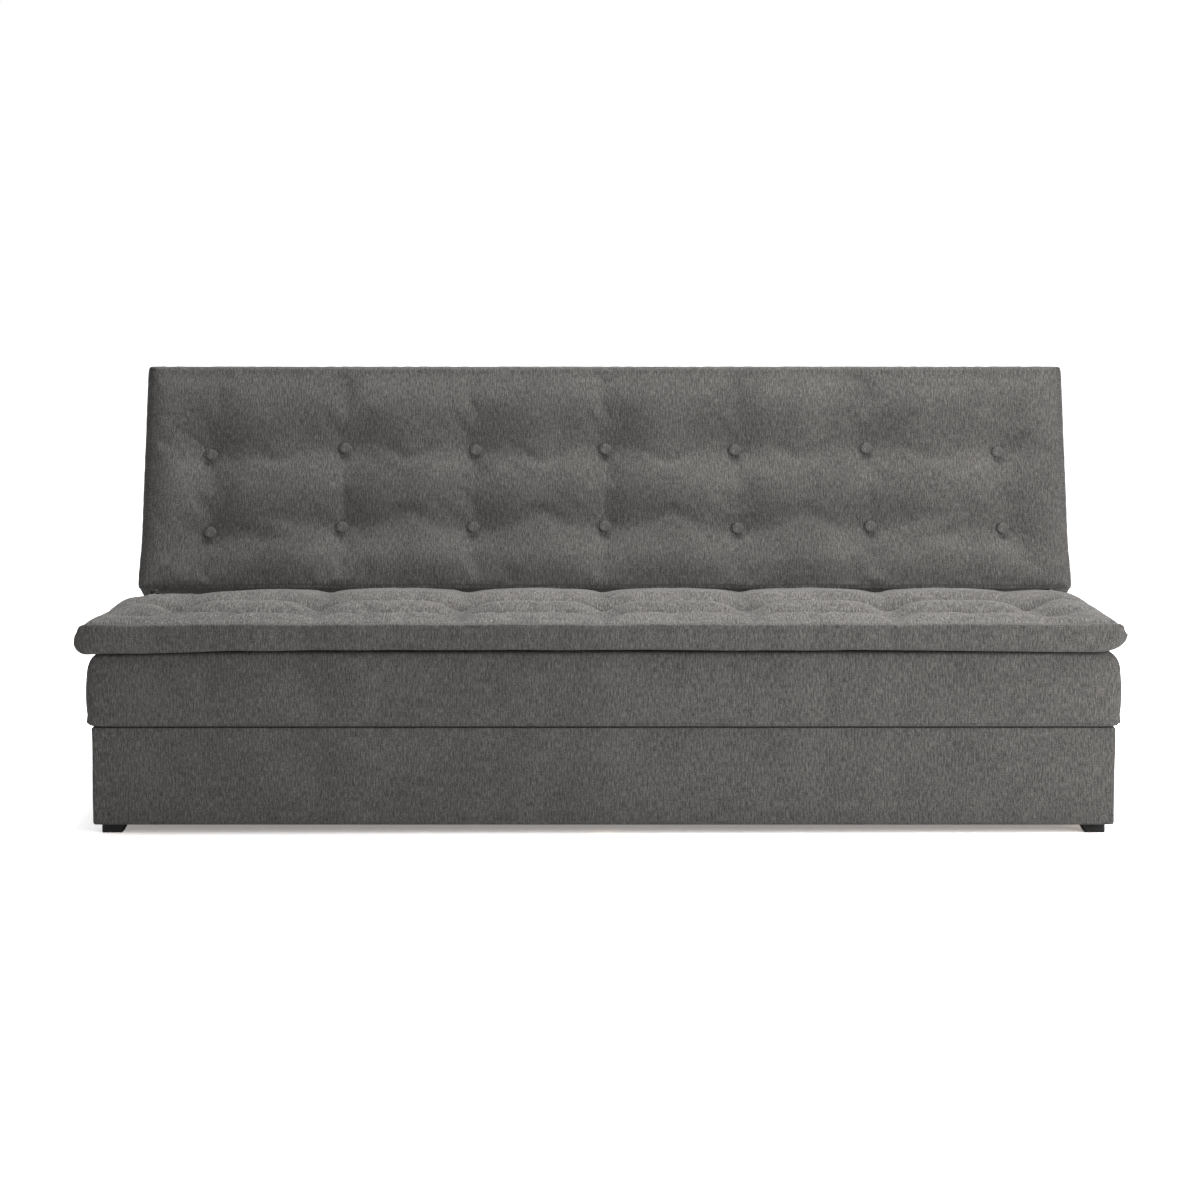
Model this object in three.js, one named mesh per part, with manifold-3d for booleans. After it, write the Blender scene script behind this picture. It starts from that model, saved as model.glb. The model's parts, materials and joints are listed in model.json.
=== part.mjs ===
// Click-clack sofa bed: a fabric storage box, a lifting tufted seat and a reclining tufted back
// joined by a ratchet hinge at each end. Millimetres, +Z up, the front faces -Y.
import * as THREE from 'three';
import { mergeVertices } from 'three/addons/utils/BufferGeometryUtils.js';
import Module from 'manifold-3d';

const wasm = await Module();
wasm.setup();

// Clearances
const fit = 0.3; // between pieces that touch
const sideGap = 0.5; // between hinge plates that slide past each other
const overrun = 2; // how far a cutter passes the face that it cuts
const slotClearance = 2.5; // round a hinge arm where it enters foam or wood

// Storage box
const boxWidth = 1850;
const boxDepth = 740;
const boxHeight = 178;
const boxCornerRadius = 6;
const boxCoverThickness = 2;
const panelThickness = 18;
const bottomBoardThickness = 4;
const battenHeight = 22;
const endBattenWidth = 54;
const centreBattenWidth = 44;
const cornerBlockSize = 32;
const cornerBlockSetDown = 12; // below the panels' top edges

// Feet
const footHeight = 21;
const footWidth = 48;
const footDepth = 50;
const footTaper = 11; // how much narrower the inner sides are at the floor
const footCornerRadius = 4;
const footSideInset = 10;
const footSetback = 42;

// Pivot line, where the seat and the back meet
const pivotForward = 120; // of the box's rear
const pivotBelowSeat = 38; // below the seat's top, and below the bed's top when the back is flat
const backLean = 21; // degrees behind upright

// Seat frame
const dustCoverThickness = 2;
const seatRailHeight = 70;
const seatRailThickness = 22;
const seatBarThickness = 30;
const seatBars = 3;
const webbingThickness = 2.5;
const webbingStrap = 60;
const webbingLongStraps = 5;
const webbingCrossStraps = 15;

// Lower seat cushion
const seatRearGap = 26; // from the pivot line to the seat's rear face
const lowerCushionEndOverhang = 10; // beyond the box's ends
const lowerCushionOverhang = 10; // in front of the box
const lowerCushionHeight = 136;
const lowerCushionWall = 15;
const lowerCushionCorner = 8; // of the top panel; the roll adds to it
const lowerCushionRoll = 18;
const lowerCushionEndRoll = 30;
const lowerCushionEndDrop = 36;
const lowerCushionUnder = 5;
const lowerCushionBelly = 2;

// Seat topper
const topperEndOverhang = 25; // beyond the box's ends
const topperOverhang = 30; // in front of the box
const topperHeight = 67;
const topperCorner = 10; // of the top panel; the roll adds to it
const topperRoll = 28; // inset of the top panel's seam roll
const topperRollDrop = 32;
const topperRearRoll = 52; // the nose beside the back
const topperUnderRoll = 11;
const topperUnderDrop = 18;
const topperDrawIn = 7; // how far the ends pull in between their corners

// Tufting, shared by the seat and the back
const tuftEndMargin = 130.9; // from the back's ends to the outer columns
const tuftColumns = 7;
const seatTuftDepth = 15;
const backTuftDepth = 20;
const creaseDepth = 8;
const pillowCrown = 4;
const seatTuftFront = 150; // from the topper's front edge to the first row
const seatTuftSpacing = 160;
const backTuftLow = 143; // from the pivot line to the lower row
const backTuftSpacing = 162;
const buttonDiameter = 22;
const buttonHeight = 7;
const buttonShankRadius = 3;
const buttonDomeShares = [[0.97, 0.3], [0.66, 0.8], [0, 1]]; // of the radius and of the height

// Back cushion and frame
const backRearGap = 28; // from the pivot line to the back's lower end
const backLength = 455;
const backThickness = 140;
const backRoll = 28; // the rounded ends
const backTopRoll = 12;
const backLowRoll = 22;
const backCorner = 5; // of the front panel; the roll adds to it
const backCoverCorner = 20;
const backWall = 13; // padding over the frame's edges
const backEndWall = 9;
const rearCoverThickness = 9.4;
const backFrameThickness = 45;
const backRailHeight = 42;
const backSlatWidth = 38;
const backSlats = 4;
const backBoardThickness = 3.2;

// Ratchet hinge
const plateThickness = 4;
const ratchetThickness = 5;
const cheekThickness = 3;
const bossRadius = 18;
const cheekBossRadius = 14;
const cheekPinRadius = 9;
const boltRadius = 6;
const boltHeadRadius = 10;
const boltHeadHeight = 7;
const boltEnd = 3; // thread past the nut
const nutHeight = 8;
const screwHoleRadius = 3.5;
const toothPitch = 11.5; // degrees
const toothTipRadius = 24;
const toothRootRadius = 20;
const toothLand = 1.5; // degrees, at the tips and at the roots
const toothCount = 11;
const pawlAngle = -62; // degrees round the pivot, where the pawl bites
const pawlReach = 28;
const pawlPinRadius = 3;
const pawlBossRadius = 7;
const pawlDepth = 9;
const pawlGap = 0.6; // between the engaged pawl and the teeth
const pawlSwing = 9.2; // degrees from engaged to clear
const pinHeadRadius = 5;
const pinHeadHeight = 2;
const springThickness = 1.2;
const springAnchor = 9;
const springWidth = 4;
const springReachShare = 0.7; // of the pawl's underside
const screwShares = [0.25, 0.5, 0.75]; // of an arm's fixed length
const bracketNeckDrop = 112;
const bracketShoulder = 28;
const bracketReach = 80;
const bracketGrip = 94.1; // below the box's top edge
const flangeThickness = 3;
const flangeWidth = 15;
const seatArmHalfWidth = 13;
const seatArmLift = 23.3; // of its lower leg above the seat's underside
const seatArmLegInset = 10;
const seatArmReach = 190;
const backArmHalfWidth = 13;
const backArmStraight = 44;
const backArmCrank = 56; // length along the back in which the arm steps rearwards
const backArmInset = 27.3; // of its long leg from the frame's rear face
const backArmReach = 250;

// Facets
const roundSegments = 16;
const holeSegments = 12;
const hexSides = 6;
const cornerSegments = 4;
const plateSegments = 6;
const buttonSegments = 12;
const footCornerSteps = 2;
const rollSteps = 4;
const underSteps = 2;
const springSteps = 6;
const creaseSteps = 4; // grid lines from tuft to tuft

// Levels and places worked out from the sizes above
const boxTop = footHeight + boxHeight;
const dustCoverBase = boxTop + fit;
const seatBase = dustCoverBase + dustCoverThickness + fit;
const lowerCushionTop = seatBase + lowerCushionHeight;
const topperBase = lowerCushionTop + fit;
const seatTop = topperBase + topperHeight;
const pivotHeight = seatTop - pivotBelowSeat;
const pivotSetback = boxDepth - pivotForward;
const seatRear = pivotSetback - seatRearGap;
const lowerCushionWidth = boxWidth + 2 * lowerCushionEndOverhang;
const topperWidth = boxWidth + 2 * topperEndOverhang;
const backWidth = boxWidth;
const backRear = pivotBelowSeat - backThickness;
const backFrameRear = backRear + rearCoverThickness + fit;
const panelOuter = boxWidth / 2 - boxCoverThickness - fit;
const panelInner = panelOuter - panelThickness;
const boxFloor = footHeight + boxCoverThickness + fit;
const panelTop = boxTop - boxCoverThickness - fit;
const panelFront = boxCoverThickness + fit;
const panelRear = boxDepth - boxCoverThickness - fit;
const bracketOuter = panelInner - fit;
const seatArmOuter = bracketOuter - plateThickness - sideGap;
const ratchetOuter = seatArmOuter - plateThickness - sideGap;
const cheekOuter = ratchetOuter - ratchetThickness - sideGap;
const bracketDepth = pivotHeight - boxTop + bracketGrip;
const seatArmDrop = pivotHeight - seatBase - seatArmLift;
const backArmStep = -backFrameRear - backArmInset;
const tuftPitch = (backWidth - 2 * tuftEndMargin) / (tuftColumns - 1);
const tuftReach = tuftPitch / 2;
const outerColumn = (tuftPitch * (tuftColumns - 1)) / 2;

const fabric = () => material(0x6e6c6a, 0.95, 0);
const darkFabric = () => material(0x2b2b2c, 0.95, 0);
const wood = () => material(0xc3a274, 0.7, 0);
const blackPlastic = () => material(0x242323, 0.5, 0);
const zincSteel = () => material(0xb4b6b8, 0.35, 0.9);
const springSteel = () => material(0x76787b, 0.35, 1);

function material(color, roughness, metalness) {
  return new THREE.MeshStandardMaterial({ color, roughness, metalness });
}

const radians = THREE.MathUtils.degToRad;
const quarterTurn = 90; // degrees
const smooth = (share) => THREE.MathUtils.smoothstep(share, 0, 1);

// Solids

function toSolid(geometry) {
  const bare = geometry.clone();
  bare.deleteAttribute('normal');
  bare.deleteAttribute('uv');
  const merged = mergeVertices(bare);
  return new wasm.Manifold(new wasm.Mesh({
    numProp: 3,
    vertProperties: new Float32Array(merged.attributes.position.array),
    triVerts: new Uint32Array(merged.index.array),
  }));
}

function toGeometry(solid) {
  const mesh = solid.getMesh();
  const geometry = new THREE.BufferGeometry();
  geometry.setAttribute('position', new THREE.BufferAttribute(new Float32Array(mesh.vertProperties), 3));
  geometry.setIndex(new THREE.BufferAttribute(new Uint32Array(mesh.triVerts), 1));
  geometry.computeVertexNormals();
  return geometry;
}

function join(...geometries) {
  return toGeometry(geometries.map(toSolid).reduce((whole, part) => whole.add(part)));
}

function cut(geometry, ...cutters) {
  const whole = toSolid(geometry);
  return toGeometry(cutters.map(toSolid).reduce((rest, cutter) => rest.subtract(cutter), whole));
}

function piece(name, geometry, finish) {
  const mesh = new THREE.Mesh(geometry, finish);
  mesh.name = name;
  return mesh;
}

// A block between two corners.
function block([x0, x1], [y0, y1], [z0, z1]) {
  const geometry = new THREE.BoxGeometry(x1 - x0, y1 - y0, z1 - z0);
  return geometry.translate((x0 + x1) / 2, (y0 + y1) / 2, (z0 + z1) / 2);
}

function roundedRectangle([x0, x1], [y0, y1], radius) {
  const shape = new THREE.Shape();
  shape.moveTo(x0 + radius, y0);
  shape.lineTo(x1 - radius, y0);
  shape.absarc(x1 - radius, y0 + radius, radius, -Math.PI / 2, 0);
  shape.lineTo(x1, y1 - radius);
  shape.absarc(x1 - radius, y1 - radius, radius, 0, Math.PI / 2);
  shape.lineTo(x0 + radius, y1);
  shape.absarc(x0 + radius, y1 - radius, radius, Math.PI / 2, Math.PI);
  shape.lineTo(x0, y0 + radius);
  shape.absarc(x0 + radius, y0 + radius, radius, Math.PI, Math.PI * 1.5);
  return shape;
}

function extrude(shape, depth, curveSegments) {
  return new THREE.ExtrudeGeometry(shape, { depth, bevelEnabled: false, curveSegments });
}

function slab(shape, base, thickness) {
  return extrude(shape, thickness, cornerSegments).translate(0, 0, base);
}

// A board with a grid of rectangular windows, between bars and margins.
function lattice([x0, x1], [y0, y1], [z0, z1], margins, bars, columns, rows) {
  const width = (x1 - x0 - 2 * margins.side - (columns - 1) * bars) / columns;
  const depth = (y1 - y0 - margins.front - margins.rear - (rows - 1) * bars) / rows;
  const windows = [];
  for (let column = 0; column < columns; column++) {
    for (let row = 0; row < rows; row++) {
      const x = x0 + margins.side + column * (width + bars);
      const y = y0 + margins.front + row * (depth + bars);
      windows.push(block([x, x + width], [y, y + depth], [z0 - overrun, z1 + overrun]));
    }
  }
  return cut(block([x0, x1], [y0, y1], [z0, z1]), ...windows);
}

// Pads

// Moves a point of a rectangle onto the same rectangle with rounded corners, and gives the way out.
function roundCorner(x, y, plan) {
  const coreX = THREE.MathUtils.clamp(x, -plan.halfWidth + plan.corner, plan.halfWidth - plan.corner);
  const coreY = THREE.MathUtils.clamp(y, plan.front + plan.corner, plan.rear - plan.corner);
  const dx = x - coreX;
  const dy = y - coreY;
  const reach = Math.hypot(dx, dy);
  if (reach === 0) return { x, y, outX: 0, outY: 0 };
  const scale = Math.max(Math.abs(dx), Math.abs(dy)) / reach;
  return { x: coreX + dx * scale, y: coreY + dy * scale, outX: dx / reach, outY: dy / reach };
}

// One side of a pad from its top panel down: [inset, drop] pairs round the roll and the lower edge.
function sideProfile(height, roll, rollDrop, under, underDrop, belly = 0) {
  const profile = [];
  for (let step = 0; step <= rollSteps; step++) {
    const turn = (Math.PI / 2) * (step / rollSteps);
    profile.push([belly + (roll - belly) * (1 - Math.sin(turn)), rollDrop * (1 - Math.cos(turn))]);
  }
  profile.push([0, (rollDrop + height - underDrop) / 2]);
  for (let step = 0; step <= underSteps; step++) {
    const turn = (Math.PI / 2) * (step / underSteps);
    const inset = belly + (under - belly) * (1 - Math.cos(turn));
    profile.push([inset, height - underDrop * (1 - Math.sin(turn))]);
  }
  return profile;
}

// A sewn pad: a gridded top panel, rings down its sides and a flat underside. The plan is that of
// the whole pad, the profiles give each side, and relief gives the top panel's height.
function pad({ halfWidth, front, rear, corner, top, profiles, columns, rows, relief, drawIn = 0 }) {
  const ends = profiles.ends[0][0];
  const plan = {
    halfWidth: halfWidth - ends,
    front: front + profiles.front[0][0],
    rear: rear - profiles.rear[0][0],
    corner,
  };
  const xs = columns(plan.halfWidth);
  const ys = rows(plan.front, plan.rear);
  const vertices = [];
  const faces = [];
  const rim = [];
  const pulled = (x, y, share) => {
    const straight = plan.rear - plan.front - 2 * corner;
    const along = Math.min(1, Math.abs(2 * y - plan.rear - plan.front) / straight);
    return x - Math.sign(x) * drawIn * (1 - along * along) * share;
  };
  const index = (column, row) => row * xs.length + column;
  for (const y of ys) {
    for (const x of xs) {
      const place = roundCorner(x, y, plan);
      const share = Math.abs(x) / plan.halfWidth;
      vertices.push(pulled(place.x, place.y, share), place.y, top + relief(x, y, plan));
    }
  }
  for (let row = 0; row + 1 < ys.length; row++) {
    for (let column = 0; column + 1 < xs.length; column++) {
      const [a, b] = [index(column, row), index(column + 1, row)];
      const [c, d] = [index(column + 1, row + 1), index(column, row + 1)];
      if ((column + row) % 2) faces.push(a, b, c, a, c, d);
      else faces.push(a, b, d, b, c, d);
    }
  }
  for (let column = 0; column < xs.length - 1; column++) rim.push([column, 0]);
  for (let row = 0; row < ys.length - 1; row++) rim.push([xs.length - 1, row]);
  for (let column = xs.length - 1; column > 0; column--) rim.push([column, ys.length - 1]);
  for (let row = ys.length - 1; row > 0; row--) rim.push([0, row]);
  let upper = rim.map(([column, row]) => index(column, row));
  const outline = rim.map(([column, row]) => roundCorner(xs[column], ys[row], plan));
  for (let ring = 1; ring < profiles.ends.length; ring++) {
    const lower = [];
    for (const place of outline) {
      const shares = [place.outX ** 2, Math.max(0, -place.outY) ** 2, Math.max(0, place.outY) ** 2];
      const blend = (entry, item) => shares[0] * profiles.ends[entry][item]
        + shares[1] * profiles.front[entry][item] + shares[2] * profiles.rear[entry][item];
      const step = blend(0, 0) - blend(ring, 0);
      lower.push(vertices.length / 3);
      const x = place.x + place.outX * step;
      const y = place.y + place.outY * step;
      vertices.push(pulled(x, y, Math.abs(place.x) / plan.halfWidth), y, top - blend(ring, 1));
    }
    for (let at = 0; at < rim.length; at++) {
      const next = (at + 1) % rim.length;
      faces.push(upper[at], lower[at], lower[next], upper[at], lower[next], upper[next]);
    }
    upper = lower;
  }
  const contour = upper.map((at) => new THREE.Vector2(vertices[3 * at], vertices[3 * at + 1]));
  for (const [a, b, c] of THREE.ShapeUtils.triangulateShape(contour, [])) {
    faces.push(upper[a], upper[c], upper[b]);
  }
  const geometry = new THREE.BufferGeometry();
  geometry.setAttribute('position', new THREE.Float32BufferAttribute(vertices, 3));
  geometry.setIndex(faces);
  geometry.computeVertexNormals();
  return geometry;
}

// Grid lines from an edge inwards: two that round the corner, then even ones up to a limit.
function edgeLines(edge, limit, corner, count) {
  const inward = Math.sign(limit - edge);
  const lines = [edge, edge + (inward * corner) / 2];
  const start = edge + inward * corner;
  for (let line = 0; line <= count; line++) lines.push(start + ((limit - start) * line) / (count + 1));
  return lines;
}

function panelLines(low, high, corner, count) {
  const middle = (low + high) / 2;
  const half = (count / 2) - 1;
  const lower = edgeLines(low, middle, corner, half);
  return [...lower, middle, ...edgeLines(high, middle, corner, half).reverse()];
}

// Grid lines at the tuft columns, between them, and out to both ends.
function tuftedColumns(halfWidth, corner) {
  const count = (tuftColumns - 1) * creaseSteps;
  const step = tuftPitch / creaseSteps;
  const lines = Array.from({ length: count + 1 }, (_, line) => line * step - outerColumn);
  return [
    ...edgeLines(-halfWidth, -outerColumn, corner, 1),
    ...lines,
    ...edgeLines(halfWidth, outerColumn, corner, 1).reverse(),
  ];
}

// Grid lines at the two tuft rows, between them, and out to both edges.
function tuftedRows(low, spacing, corner, frontCount, rearCount) {
  const lines = Array.from({ length: creaseSteps + 1 }, (_, line) => low + (line * spacing) / creaseSteps);
  return (front, rear) => [
    ...edgeLines(front, low, corner, frontCount),
    ...lines,
    ...edgeLines(rear, low + spacing, corner, rearCount).reverse(),
  ];
}

// The height of a tufted panel: pillows that rise between creases and dip to each tuft.
function tuftedRelief(low, spacing, tuftDepth) {
  const last = (tuftColumns - 1) / 2;
  return (x, y, plan) => {
    const column = THREE.MathUtils.clamp(Math.round(x / tuftPitch), -last, last);
    const across = Math.abs(x - column * tuftPitch);
    const along = Math.min(Math.abs(y - low), Math.abs(y - low - spacing));
    const edge = Math.min(plan.halfWidth - Math.abs(x), y - plan.front, plan.rear - y);
    const fade = smooth(edge / (tuftReach / 2));
    const reach = (distance) => 1 - smooth(distance / tuftReach);
    const crease = creaseDepth * Math.max(reach(across), reach(along)) ** 2;
    const tuft = (tuftDepth - creaseDepth) * (reach(Math.hypot(across, along)) ** 3);
    const crown = pillowCrown * (1 - Math.max(reach(across), reach(along)));
    return (crown - crease - tuft) * fade;
  };
}

// Storage box

function storageBox() {
  const group = new THREE.Group();
  const height = [boxFloor, panelTop];
  const inner = [panelFront + panelThickness, panelRear - panelThickness];
  group.add(
    piece('base_front_panel', block([-panelOuter, panelOuter], [panelFront, inner[0]], height), wood()),
    piece('base_rear_panel', block([-panelOuter, panelOuter], [inner[1], panelRear], height), wood()),
  );
  for (const [side, sign] of [['left', -1], ['right', 1]]) {
    const across = [sign * panelInner, sign * panelOuter].sort((a, b) => a - b);
    group.add(piece(`base_${side}_panel`, block(across, [inner[0] + fit, inner[1] - fit], height), wood()));
  }
  const boardBase = footHeight + battenHeight + fit;
  const boardTop = boardBase + bottomBoardThickness;
  const boardHalf = panelInner - fit;
  const board = block([-boardHalf, boardHalf], [inner[0] + fit, inner[1] - fit], [boardBase, boardTop]);
  group.add(piece('base_bottom_board', board, wood()));
  const endBatten = boardHalf - endBattenWidth / 2;
  const battens = [
    ['left', -endBatten, endBattenWidth],
    ['centre', 0, centreBattenWidth],
    ['right', endBatten, endBattenWidth],
  ];
  for (const [side, x, width] of battens) {
    const bar = block([x - width / 2, x + width / 2], [inner[0] + fit, inner[1] - fit],
      [footHeight, footHeight + battenHeight]);
    group.add(piece(`bottom_batten_${side}`, bar, wood()));
  }
  for (const [side, sign] of [['left', -1], ['right', 1]]) {
    for (const [end, y] of [['front', inner[0] + fit], ['rear', inner[1] - fit]]) {
      const inward = end === 'front' ? 1 : -1;
      group.add(
        piece(`corner_block_${end}_${side}`, cornerBlock(sign, y, inward, boardTop), wood()),
        piece(`foot_${end}_${side}`, foot(sign, inward), blackPlastic()),
      );
    }
  }
  group.add(piece('base_fabric_cover', boxCover(), fabric()));
  return group;
}

// A three-cornered glue block, as tall as the storage space.
function cornerBlock(sign, y, inward, boardTop) {
  const corner = sign * (panelInner - fit);
  const outline = [
    new THREE.Vector2(corner, y),
    new THREE.Vector2(corner - sign * cornerBlockSize, y),
    new THREE.Vector2(corner, y + inward * cornerBlockSize),
  ];
  if (THREE.ShapeUtils.area(outline) < 0) outline.reverse();
  const base = boardTop + fit;
  return slab(new THREE.Shape(outline), base, panelTop - cornerBlockSetDown - base);
}

// A moulded foot: upright outer sides, inner sides that slant in towards the floor.
function foot(sign, inward) {
  const outerX = sign * (boxWidth / 2 - footSideInset);
  const outerY = inward > 0 ? footSetback : boxDepth - footSetback;
  const sections = [[0, footTaper], [footHeight - fit, 0]].map(([z, taper]) => {
    const across = [outerX, outerX - sign * (footWidth - taper)].sort((a, b) => a - b);
    const along = [outerY, outerY + inward * (footDepth - taper)].sort((a, b) => a - b);
    const outline = roundedRectangle(across, along, footCornerRadius).getPoints(footCornerSteps);
    return outline.map((point) => new THREE.Vector3(point.x, point.y, z));
  });
  return loft(sections);
}

// A solid through level sections with equal point counts, lowest first.
function loft(sections) {
  const count = sections[0].length;
  const vertices = sections.flat().flatMap((point) => point.toArray());
  const faces = [];
  for (let level = 0; level + 1 < sections.length; level++) {
    for (let at = 0; at < count; at++) {
      const next = (at + 1) % count;
      const [low, lowNext] = [level * count + at, level * count + next];
      faces.push(low, lowNext, lowNext + count, low, lowNext + count, low + count);
    }
  }
  const last = (sections.length - 1) * count;
  for (let at = 1; at + 1 < count; at++) faces.push(0, at + 1, at, last, last + at, last + at + 1);
  const geometry = new THREE.BufferGeometry();
  geometry.setAttribute('position', new THREE.Float32BufferAttribute(vertices, 3));
  geometry.setIndex(faces);
  const merged = mergeVertices(geometry);
  merged.computeVertexNormals();
  return merged;
}

// The fabric wraps the panels and turns in over their upper and lower edges.
function boxCover() {
  const half = boxWidth / 2;
  const plan = roundedRectangle([-half, half], [0, boxDepth], boxCornerRadius);
  const outer = slab(plan, footHeight, boxHeight);
  const hollow = block([-panelOuter - fit, panelOuter + fit],
    [boxCoverThickness, boxDepth - boxCoverThickness], [boxFloor - fit, panelTop + fit]);
  const mouth = block([-panelInner, panelInner],
    [panelFront + panelThickness, panelRear - panelThickness], [footHeight - overrun, boxTop + overrun]);
  return cut(outer, hollow, mouth);
}

// Seat

function seat() {
  const group = new THREE.Group();
  const frameOuter = lowerCushionWidth / 2 - lowerCushionWall - fit;
  const frameFront = -lowerCushionOverhang + lowerCushionWall + fit;
  const frameRear = seatRear - lowerCushionWall - fit;
  const frameTop = seatBase + seatRailHeight;
  group.add(
    piece('seat_dust_cover', block([-frameOuter, frameOuter], [frameFront, frameRear],
      [dustCoverBase, dustCoverBase + dustCoverThickness]), darkFabric()),
    piece('seat_frame', seatFrame(frameOuter, frameFront, frameRear), wood()),
    piece('seat_webbing', seatWebbing(frameOuter, frameFront, frameRear, frameTop), darkFabric()),
    piece('seat_lower_cushion', lowerCushion(frameOuter, frameFront, frameRear, frameTop), fabric()),
    piece('seat_topper', topper(), fabric()),
  );
  return group;
}

// Side rails lie against the hinge arms, and the rear rail is notched where the arms pass.
function seatFrame(outer, front, rear) {
  const railInner = seatArmOuter + fit;
  const margins = { side: outer - railInner, front: seatRailThickness, rear: seatRailThickness };
  const frame = lattice([-outer, outer], [front, rear], [seatBase, seatBase + seatRailHeight],
    margins, seatBarThickness, seatBars + 1, 1);
  return cut(frame, seatArmSlot(-1), seatArmSlot(1));
}

// Elastic straps, woven lengthways and across, lie on the frame.
function seatWebbing(outer, front, rear, frameTop) {
  const inset = seatRailThickness / 2;
  const long = webbingStrap;
  const margins = { side: long, front: long, rear: long };
  return lattice([inset - outer, outer - inset], [front + inset, rear - inset],
    [frameTop + fit, frameTop + fit + webbingThickness], margins, long,
    webbingCrossStraps - 1, webbingLongStraps - 1);
}

// Foam and cover in one: a box pad with its underside open for the frame.
function lowerCushion(outer, front, rear, frameTop) {
  const under = lowerCushionUnder;
  const profile = (roll, drop = roll) => sideProfile(lowerCushionHeight, roll, drop, under, under,
    lowerCushionBelly);
  const corner = lowerCushionCorner;
  const body = pad({
    halfWidth: lowerCushionWidth / 2,
    front: -lowerCushionOverhang,
    rear: seatRear,
    corner,
    top: lowerCushionTop,
    profiles: {
      ends: profile(lowerCushionEndRoll, lowerCushionEndDrop),
      front: profile(lowerCushionRoll),
      rear: profile(lowerCushionRoll / 2),
    },
    columns: (half) => panelLines(-half, half, corner, tuftColumns + 1),
    rows: (low, high) => panelLines(low, high, corner, creaseSteps),
    relief: () => 0,
  });
  const top = frameTop + webbingThickness + 2 * fit;
  const hollow = block([-outer - fit, outer + fit], [front - fit, rear + fit], [seatBase - overrun, top]);
  return cut(body, hollow, seatArmSlot(-1), seatArmSlot(1));
}

function topper() {
  const front = -topperOverhang;
  const low = front + seatTuftFront;
  const edge = sideProfile(topperHeight, topperRoll, topperRollDrop, topperUnderRoll, topperUnderDrop);
  const underRear = topperUnderRoll / 2;
  return pad({
    halfWidth: topperWidth / 2,
    front,
    rear: seatRear,
    corner: topperCorner,
    top: seatTop,
    profiles: {
      ends: edge,
      front: edge,
      rear: sideProfile(topperHeight, topperRearRoll, topperRearRoll, underRear, underRear),
    },
    columns: (half) => tuftedColumns(half, topperCorner),
    rows: tuftedRows(low, seatTuftSpacing, topperCorner, 1, 3),
    relief: tuftedRelief(low, seatTuftSpacing, seatTuftDepth),
    drawIn: topperDrawIn,
  });
}

// Backrest, modelled flat as in the bed, with the pivot line at its origin and the front face up

function backrest() {
  const group = new THREE.Group();
  const top = backRearGap + backLength;
  const frameFront = backFrameRear + backFrameThickness;
  const boardFront = frameFront + fit + backBoardThickness;
  const outer = backWidth / 2 - backEndWall - fit;
  const ends = [backRearGap + backWall + fit, top - backWall - fit];
  const slots = [-1, 1].map(backArmSlot);
  const board = block([-outer, outer], ends, [frameFront + fit, boardFront]);
  const coverHalf = (backWidth - backEndWall) / 2;
  const coverEnds = [backRearGap + backEndWall / 2, top - backEndWall / 2];
  const cover = slab(roundedRectangle([-coverHalf, coverHalf], coverEnds, backCoverCorner),
    backRear, rearCoverThickness);
  group.add(
    piece('back_frame', cut(backFrame(outer, ends), ...slots), wood()),
    piece('back_board', cut(board, ...slots), wood()),
    piece('back_cushion', backCushion(outer, ends, boardFront + fit, slots), fabric()),
    piece('back_rear_cover', cover, darkFabric()),
  );
  const dimpleSlope = (backTuftDepth * creaseSteps) / tuftPitch;
  const buttonBase = pivotBelowSeat - backTuftDepth + dimpleSlope * buttonShankRadius + fit;
  for (const [row, y] of [['lower', backTuftLow], ['upper', backTuftLow + backTuftSpacing]]) {
    for (let column = 0; column < tuftColumns; column++) {
      const button = tuftButton();
      button.translate(column * tuftPitch - outerColumn, y, buttonBase);
      group.add(piece(`back_button_${row}_${column + 1}`, button, fabric()));
    }
  }
  return group;
}

// Side stiles lie against the hinge arms, with slats between them.
function backFrame(outer, ends) {
  const stileInner = ratchetOuter + fit;
  const margins = { side: outer - stileInner, front: backRailHeight, rear: backRailHeight };
  return lattice([-outer, outer], ends, [backFrameRear, backFrameRear + backFrameThickness],
    margins, backSlatWidth, backSlats + 1, 1);
}

function backCushion(outer, ends, foamRear, slots) {
  const height = pivotBelowSeat - backFrameRear;
  const low = backTuftLow;
  const profile = (roll) => sideProfile(height, roll, roll, backEndWall / 2, backEndWall / 2);
  const body = pad({
    halfWidth: backWidth / 2,
    front: backRearGap,
    rear: backRearGap + backLength,
    corner: backCorner,
    top: pivotBelowSeat,
    profiles: { ends: profile(backRoll), front: profile(backLowRoll), rear: profile(backTopRoll) },
    columns: (half) => tuftedColumns(half, backCorner),
    rows: tuftedRows(low, backTuftSpacing, backCorner, 1, 2),
    relief: tuftedRelief(low, backTuftSpacing, backTuftDepth),
  });
  const hollow = block([-outer - fit, outer + fit], [ends[0] - fit, ends[1] + fit],
    [backFrameRear - overrun, foamRear]);
  return cut(body, hollow, ...slots);
}

// A covered button: a low dome on a shank that reaches into the tuft.
function tuftButton() {
  const radius = buttonDiameter / 2;
  const rimLift = buttonHeight / 2;
  const shank = [[0, 0], [buttonShankRadius, 0], [buttonShankRadius, rimLift], [radius, rimLift]];
  const dome = buttonDomeShares.map(([out, up]) => [radius * out, rimLift + buttonHeight * up]);
  const profile = [...shank, ...dome].map(([x, y]) => new THREE.Vector2(x, y));
  return new THREE.LatheGeometry(profile, buttonSegments).rotateX(Math.PI / 2);
}

// Hinge plates: outlines in the plane of the hinge, with the pivot line at the origin, as
// (rearwards, upwards). Each lies in a layer from an outer distance inwards, on either side.

const toSide = new THREE.Matrix4().makeBasis(
  new THREE.Vector3(0, 1, 0), new THREE.Vector3(0, 0, 1), new THREE.Vector3(1, 0, 0));

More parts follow.
